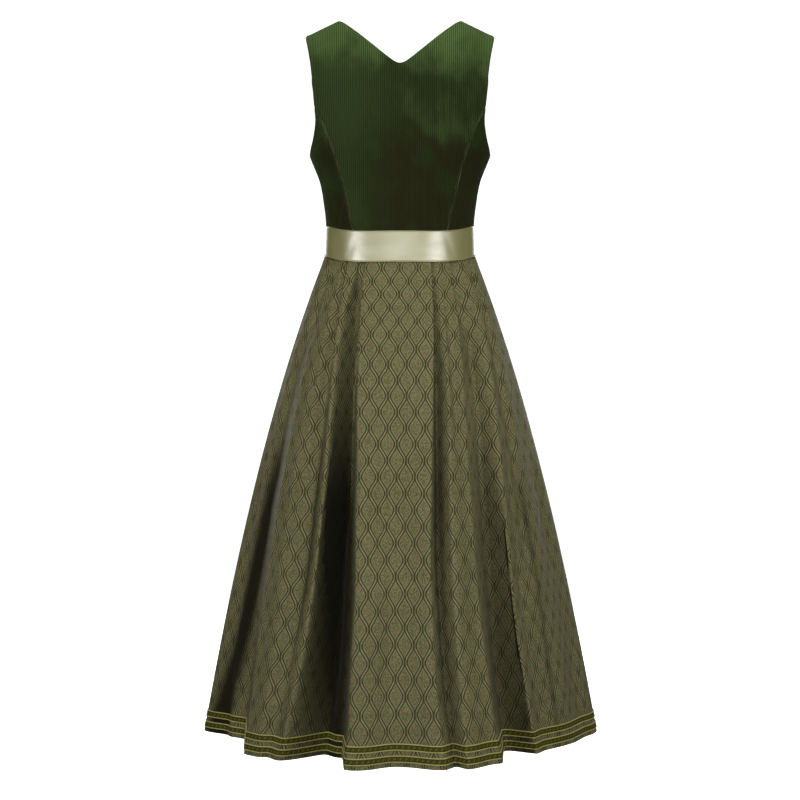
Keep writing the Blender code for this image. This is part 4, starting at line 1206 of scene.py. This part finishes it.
def braid_material(colours, sizes, height):
    """Woven braid: twisted cord along both edges and a velvet middle with small woven dots."""
    material, tree, shader = new_material("braid_corded_velvet", Roughness=0.8, Sheen_Weight=0.02,
                                          Specular_IOR_Level=0.08)
    cloth, along, down = cloth_metres(tree)
    middle = node(tree, "Math", down, 0.5 * height, operation="SUBTRACT")
    middle = node(tree, "Math", middle, operation="ABSOLUTE")
    edge = 0.5 * height - sizes.braid_cord
    velvet = node(tree, "MapRange", middle, edge - 0.0002, edge + 0.0002, 1.0, 0.0, **SMOOTH)
    # strands of the cord, by their real twist
    twist = node(tree, "Math", node(tree, "Math", along, down, operation="ADD"), 2.0 * math.pi / CORD_TWIST,
                 operation="MULTIPLY")
    twist = node(tree, "Math", twist, operation="SINE")
    cord = node(tree, "Mix", node(tree, "MapRange", twist, -0.9, 0.3, 0.40, 0.0, **SMOOTH),
                linear(colours.cord), linear(colours.velvet), **COLOURS)
    # slanted dots on the velvet
    place = node(tree, "Math", down, 0.5, along, operation="MULTIPLY_ADD")
    place = node(tree, "Math", place, sizes.braid_dot_step, operation="DIVIDE")
    beside = node(tree, "Math", node(tree, "Math", place, operation="FRACT"), 0.5, operation="SUBTRACT")
    beside = node(tree, "Math", node(tree, "Math", beside, operation="ABSOLUTE"), sizes.braid_dot_step,
                  operation="MULTIPLY")
    rise = node(tree, "Math", node(tree, "Math", middle, middle, operation="MULTIPLY"), 0.7,
                operation="MULTIPLY")
    dot = node(tree, "Math", beside, beside, rise, operation="MULTIPLY_ADD")
    spot = node(tree, "MapRange", node(tree, "Math", dot, operation="SQRT"), *DOT_EDGE, 1.0, 0.0, **SMOOTH)
    # pile of the velvet is about 0.1 mm thick and drawn at 1.1 mm, so that it shows
    fuzz = node(tree, "TexNoise", cloth, Scale=900.0)
    pile = node(tree, "Mix", node(tree, "Math", fuzz, 0.25, operation="MULTIPLY"), linear(colours.velvet),
                linear(colours.dots), **COLOURS)
    pile = node(tree, "Mix", node(tree, "Math", spot, 0.85, operation="MULTIPLY"), pile,
                linear(colours.dots), **COLOURS)
    tree.links.new(node(tree, "Mix", velvet, cord, pile, **COLOURS), shader.inputs["Base Color"])
    bare = node(tree, "Math", 1.0, velvet, operation="SUBTRACT")
    raised = node(tree, "Math", spot, 0.8, fuzz, operation="MULTIPLY_ADD")
    raised = node(tree, "Math", bare, twist, raised, operation="MULTIPLY_ADD")
    tree.links.new(node(tree, "Bump", Height=raised, Distance=0.0003, Strength=0.7), shader.inputs["Normal"])
    return material


def stage_material(colours):
    """Matt paper sweep: plain and pale, lit evenly from its own soft glow."""
    paper = linear(colours.stage)
    return new_material("paper_matt_sweep", Roughness=0.95, Specular_IOR_Level=0.1, Base_Color=paper,
                        Emission_Color=paper, Emission_Strength=PAPER_GLOW)[0]


# ---------------------------------------------------------------- operators
class DRESS_OT_bodice_back(bpy.types.Operator):
    """Cut the centre back and the two side backs from corduroy"""
    bl_idname = "dress.bodice_back"
    bl_label = "Bodice back"

    def execute(self, context):
        sizes, colours = context.scene.dress_sizes, context.scene.dress_colours
        cloths = (corduroy_material(colours, sizes), corduroy_back_material(colours))
        half = Half(1)
        piece = bodice_panel("back_centre", half, centre_inside, BACK_SPREAD, 1, sizes, 0.0)
        dress_piece(piece, "back_centre", "corduroy", *cloths)
        for sign, hand in ((1, "right"), (-1, "left")):
            name = "back_side_" + hand
            piece = bodice_panel(name, half, side_inside, SIDE_SPREAD, sign, sizes, BACK_SIDE_WEAVE * sign)
            dress_piece(piece, name, "corduroy", *cloths)
        return {"FINISHED"}


class DRESS_OT_bodice_front(bpy.types.Operator):
    """Cut the two fronts and the two side fronts from corduroy"""
    bl_idname = "dress.bodice_front"
    bl_label = "Bodice front"

    def execute(self, context):
        sizes, colours = context.scene.dress_sizes, context.scene.dress_colours
        cloths = (corduroy_material(colours, sizes), corduroy_back_material(colours))
        half = Half(2)
        for sign, hand in ((1, "right"), (-1, "left")):
            for part, inside, spread in (("front_", centre_inside, FRONT_SPREAD),
                                         ("front_side_", side_inside, SIDE_SPREAD)):
                name = part + hand
                piece = bodice_panel(name, half, inside, spread, sign, sizes, FRONT_WEAVE * sign)
                dress_piece(piece, name, "corduroy", *cloths)
        return {"FINISHED"}


class DRESS_OT_skirt(bpy.types.Operator):
    """Pleat the two halves of the brocade skirt"""
    bl_idname = "dress.skirt"
    bl_label = "Skirt"

    def execute(self, context):
        sizes, colours = context.scene.dress_sizes, context.scene.dress_colours
        cloths = (brocade_material(colours, sizes), brocade_material(colours, sizes, face=False))
        for name, start, end in (("skirt_back", -90.0, 90.0), ("skirt_front", 90.0, 270.0)):
            dress_piece(skirt_half(name, start, end, sizes), name, "brocade", *cloths)
        return {"FINISHED"}


class DRESS_OT_hem_braids(bpy.types.Operator):
    """Lay the two braids round the hem"""
    bl_idname = "dress.hem_braids"
    bl_label = "Hem braids"

    def execute(self, context):
        sizes, colours = context.scene.dress_sizes, context.scene.dress_colours
        for name in ("hem_trim_lower", "hem_trim_upper"):
            low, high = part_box(name)
            cloth = braid_material(colours, sizes, high[2] - low[2])
            dress_piece(hem_braid(name, sizes), name, "braid", cloth, cloth)
        return {"FINISHED"}


class DRESS_OT_sash(bpy.types.Operator):
    """Put the satin sash round the waist"""
    bl_idname = "dress.sash"
    bl_label = "Sash"

    def execute(self, context):
        cloth = satin_material(context.scene.dress_colours)
        dress_piece(waist_sash("waist_sash"), "waist_sash", "satin", cloth, cloth)
        return {"FINISHED"}


def soft_light(name, place, target, size, power):
    """A large white soft box that shines on a target and isn't seen itself."""
    data = bpy.data.lights.new(name, "AREA")
    data.shape = "RECTANGLE"
    data.size, data.size_y = size
    data.energy = power
    light = bpy.data.objects.new(name, data)
    bpy.context.collection.objects.link(light)
    light.location = place
    direction = np.array(target) - np.array(place)
    light.rotation_euler = (
        math.atan2(math.hypot(direction[0], direction[1]), -direction[2]),
        0.0,
        math.atan2(direction[0], -direction[1]) + math.pi,
    )
    light.visible_camera = False
    return light


class DRESS_OT_stage(bpy.types.Operator):
    """Make the pale sweep, the soft boxes and the camera"""
    bl_idname = "dress.stage"
    bl_label = "Stage"

    def execute(self, context):
        colours = context.scene.dress_colours
        bpy.ops.object.select_all(action="DESELECT")
        bpy.ops.mesh.primitive_circle_add(vertices=96, radius=COVE_RADIUS, fill_type="NGON",
                                          location=(0.0, 0.0, FLOOR_Z))
        sweep = context.object
        sweep.name = "sweep"
        bpy.ops.object.mode_set(mode="EDIT")
        bpy.ops.mesh.select_mode(type="EDGE")
        bpy.ops.mesh.select_all(action="SELECT")
        bpy.ops.mesh.region_to_loop()
        bpy.ops.mesh.extrude_edges_move(TRANSFORM_OT_translate={"value": (0.0, 0.0, COVE_HEIGHT)})
        bpy.ops.object.mode_set(mode="OBJECT")
        # the edge where the floor meets the wall is rounded
        for edge in sweep.data.edges:
            ends = [sweep.data.vertices[v].co.z for v in edge.vertices]
            edge.select = max(ends) < 0.001
        bpy.ops.object.mode_set(mode="EDIT")
        bpy.ops.mesh.bevel(offset=COVE_BEND, segments=10, affect="EDGES")
        bpy.ops.mesh.select_all(action="SELECT")
        bpy.ops.mesh.normals_make_consistent(inside=True)
        bpy.ops.object.mode_set(mode="OBJECT")
        bpy.ops.object.transform_apply(location=True, rotation=True, scale=True)
        bpy.ops.object.shade_smooth()
        sweep.data.materials.append(stage_material(colours))
        sweep.visible_diffuse = False
        sweep.visible_glossy = False

        world = bpy.data.worlds.new("studio")
        context.scene.world = world
        world.use_nodes = True
        background = world.node_tree.nodes["Background"]
        background.inputs["Color"].default_value = linear("#ffffff")
        background.inputs["Strength"].default_value = ROOM_LIGHT
        context.scene.view_settings.view_transform = "Standard"
        # soft boxes that no cloth mirrors
        for name, place, size, power in (
            ("key_box", (-0.1, -3.9, 0.6), (1.2, 1.0), 104.0),
            ("far_box", (0.4, 3.8, 0.7), (1.3, 1.2), 96.0),
            ("left_box", (-2.6, -2.2, 0.2), (1.2, 2.0), 36.0),
            ("right_box", (2.9, -1.6, 0.2), (0.9, 2.0), 47.0),
        ):
            soft_light(name, place, BOX_TARGET, size, power).visible_glossy = False
        soft_light("top_box", (0.0, -0.7, 1.5), (0.0, -0.05, -0.1), (1.6, 0.9), 18.0)
        # cards that only a smooth cloth mirrors: a wide one behind and in front, and one at each side
        for name, place, size, power in (
            ("card_front", (0.0, -3.4, -0.30), (8.0, 1.2), 205.0),
            ("card_left", (-3.1, -2.4, -0.30), (0.9, 1.4), 64.0),
            ("card_right", (2.7, -2.8, -0.30), (1.3, 1.4), 68.0),
            ("card_far", (0.0, 3.4, -0.30), (6.0, 1.2), 120.0),
        ):
            soft_light(name, place, CARD_TARGET, size, power).visible_diffuse = False

        data = bpy.data.cameras.new("view")
        data.sensor_width = SENSOR_MM
        data.lens = CAMERA_FOCUS_MM
        camera = bpy.data.objects.new("view", data)
        context.collection.objects.link(camera)
        camera.location = CAMERA_PLACE
        camera.rotation_euler = (math.radians(90.0), 0.0, 0.0)
        context.scene.camera = camera
        return {"FINISHED"}


class DRESS_PT_panel(bpy.types.Panel):
    """The steps that make the dress"""
    bl_idname = "DRESS_PT_panel"
    bl_label = "Dirndl Dress"
    bl_space_type = "VIEW_3D"
    bl_region_type = "UI"
    bl_category = "Dress"

    def draw(self, context):
        layout = self.layout
        for step in STEPS:
            layout.operator(step.bl_idname)
        for group in (context.scene.dress_sizes, context.scene.dress_colours):
            box = layout.box()
            for key in group.__annotations__:
                box.prop(group, key)


STEPS = (DRESS_OT_bodice_back, DRESS_OT_bodice_front, DRESS_OT_skirt, DRESS_OT_hem_braids,
         DRESS_OT_sash, DRESS_OT_stage)
CLASSES = (DressSizes, DressColours) + STEPS + (DRESS_PT_panel,)


def register():
    for cls in CLASSES:
        bpy.utils.register_class(cls)
    bpy.types.Scene.dress_sizes = bpy.props.PointerProperty(type=DressSizes)
    bpy.types.Scene.dress_colours = bpy.props.PointerProperty(type=DressColours)


def unregister():
    del bpy.types.Scene.dress_colours
    del bpy.types.Scene.dress_sizes
    for cls in reversed(CLASSES):
        bpy.utils.unregister_class(cls)


def main():
    register()
    bpy.ops.dress.bodice_back()
    bpy.ops.dress.bodice_front()
    bpy.ops.dress.skirt()
    bpy.ops.dress.hem_braids()
    bpy.ops.dress.sash()
    bpy.ops.dress.stage()


if __name__ == "__main__":
    main()
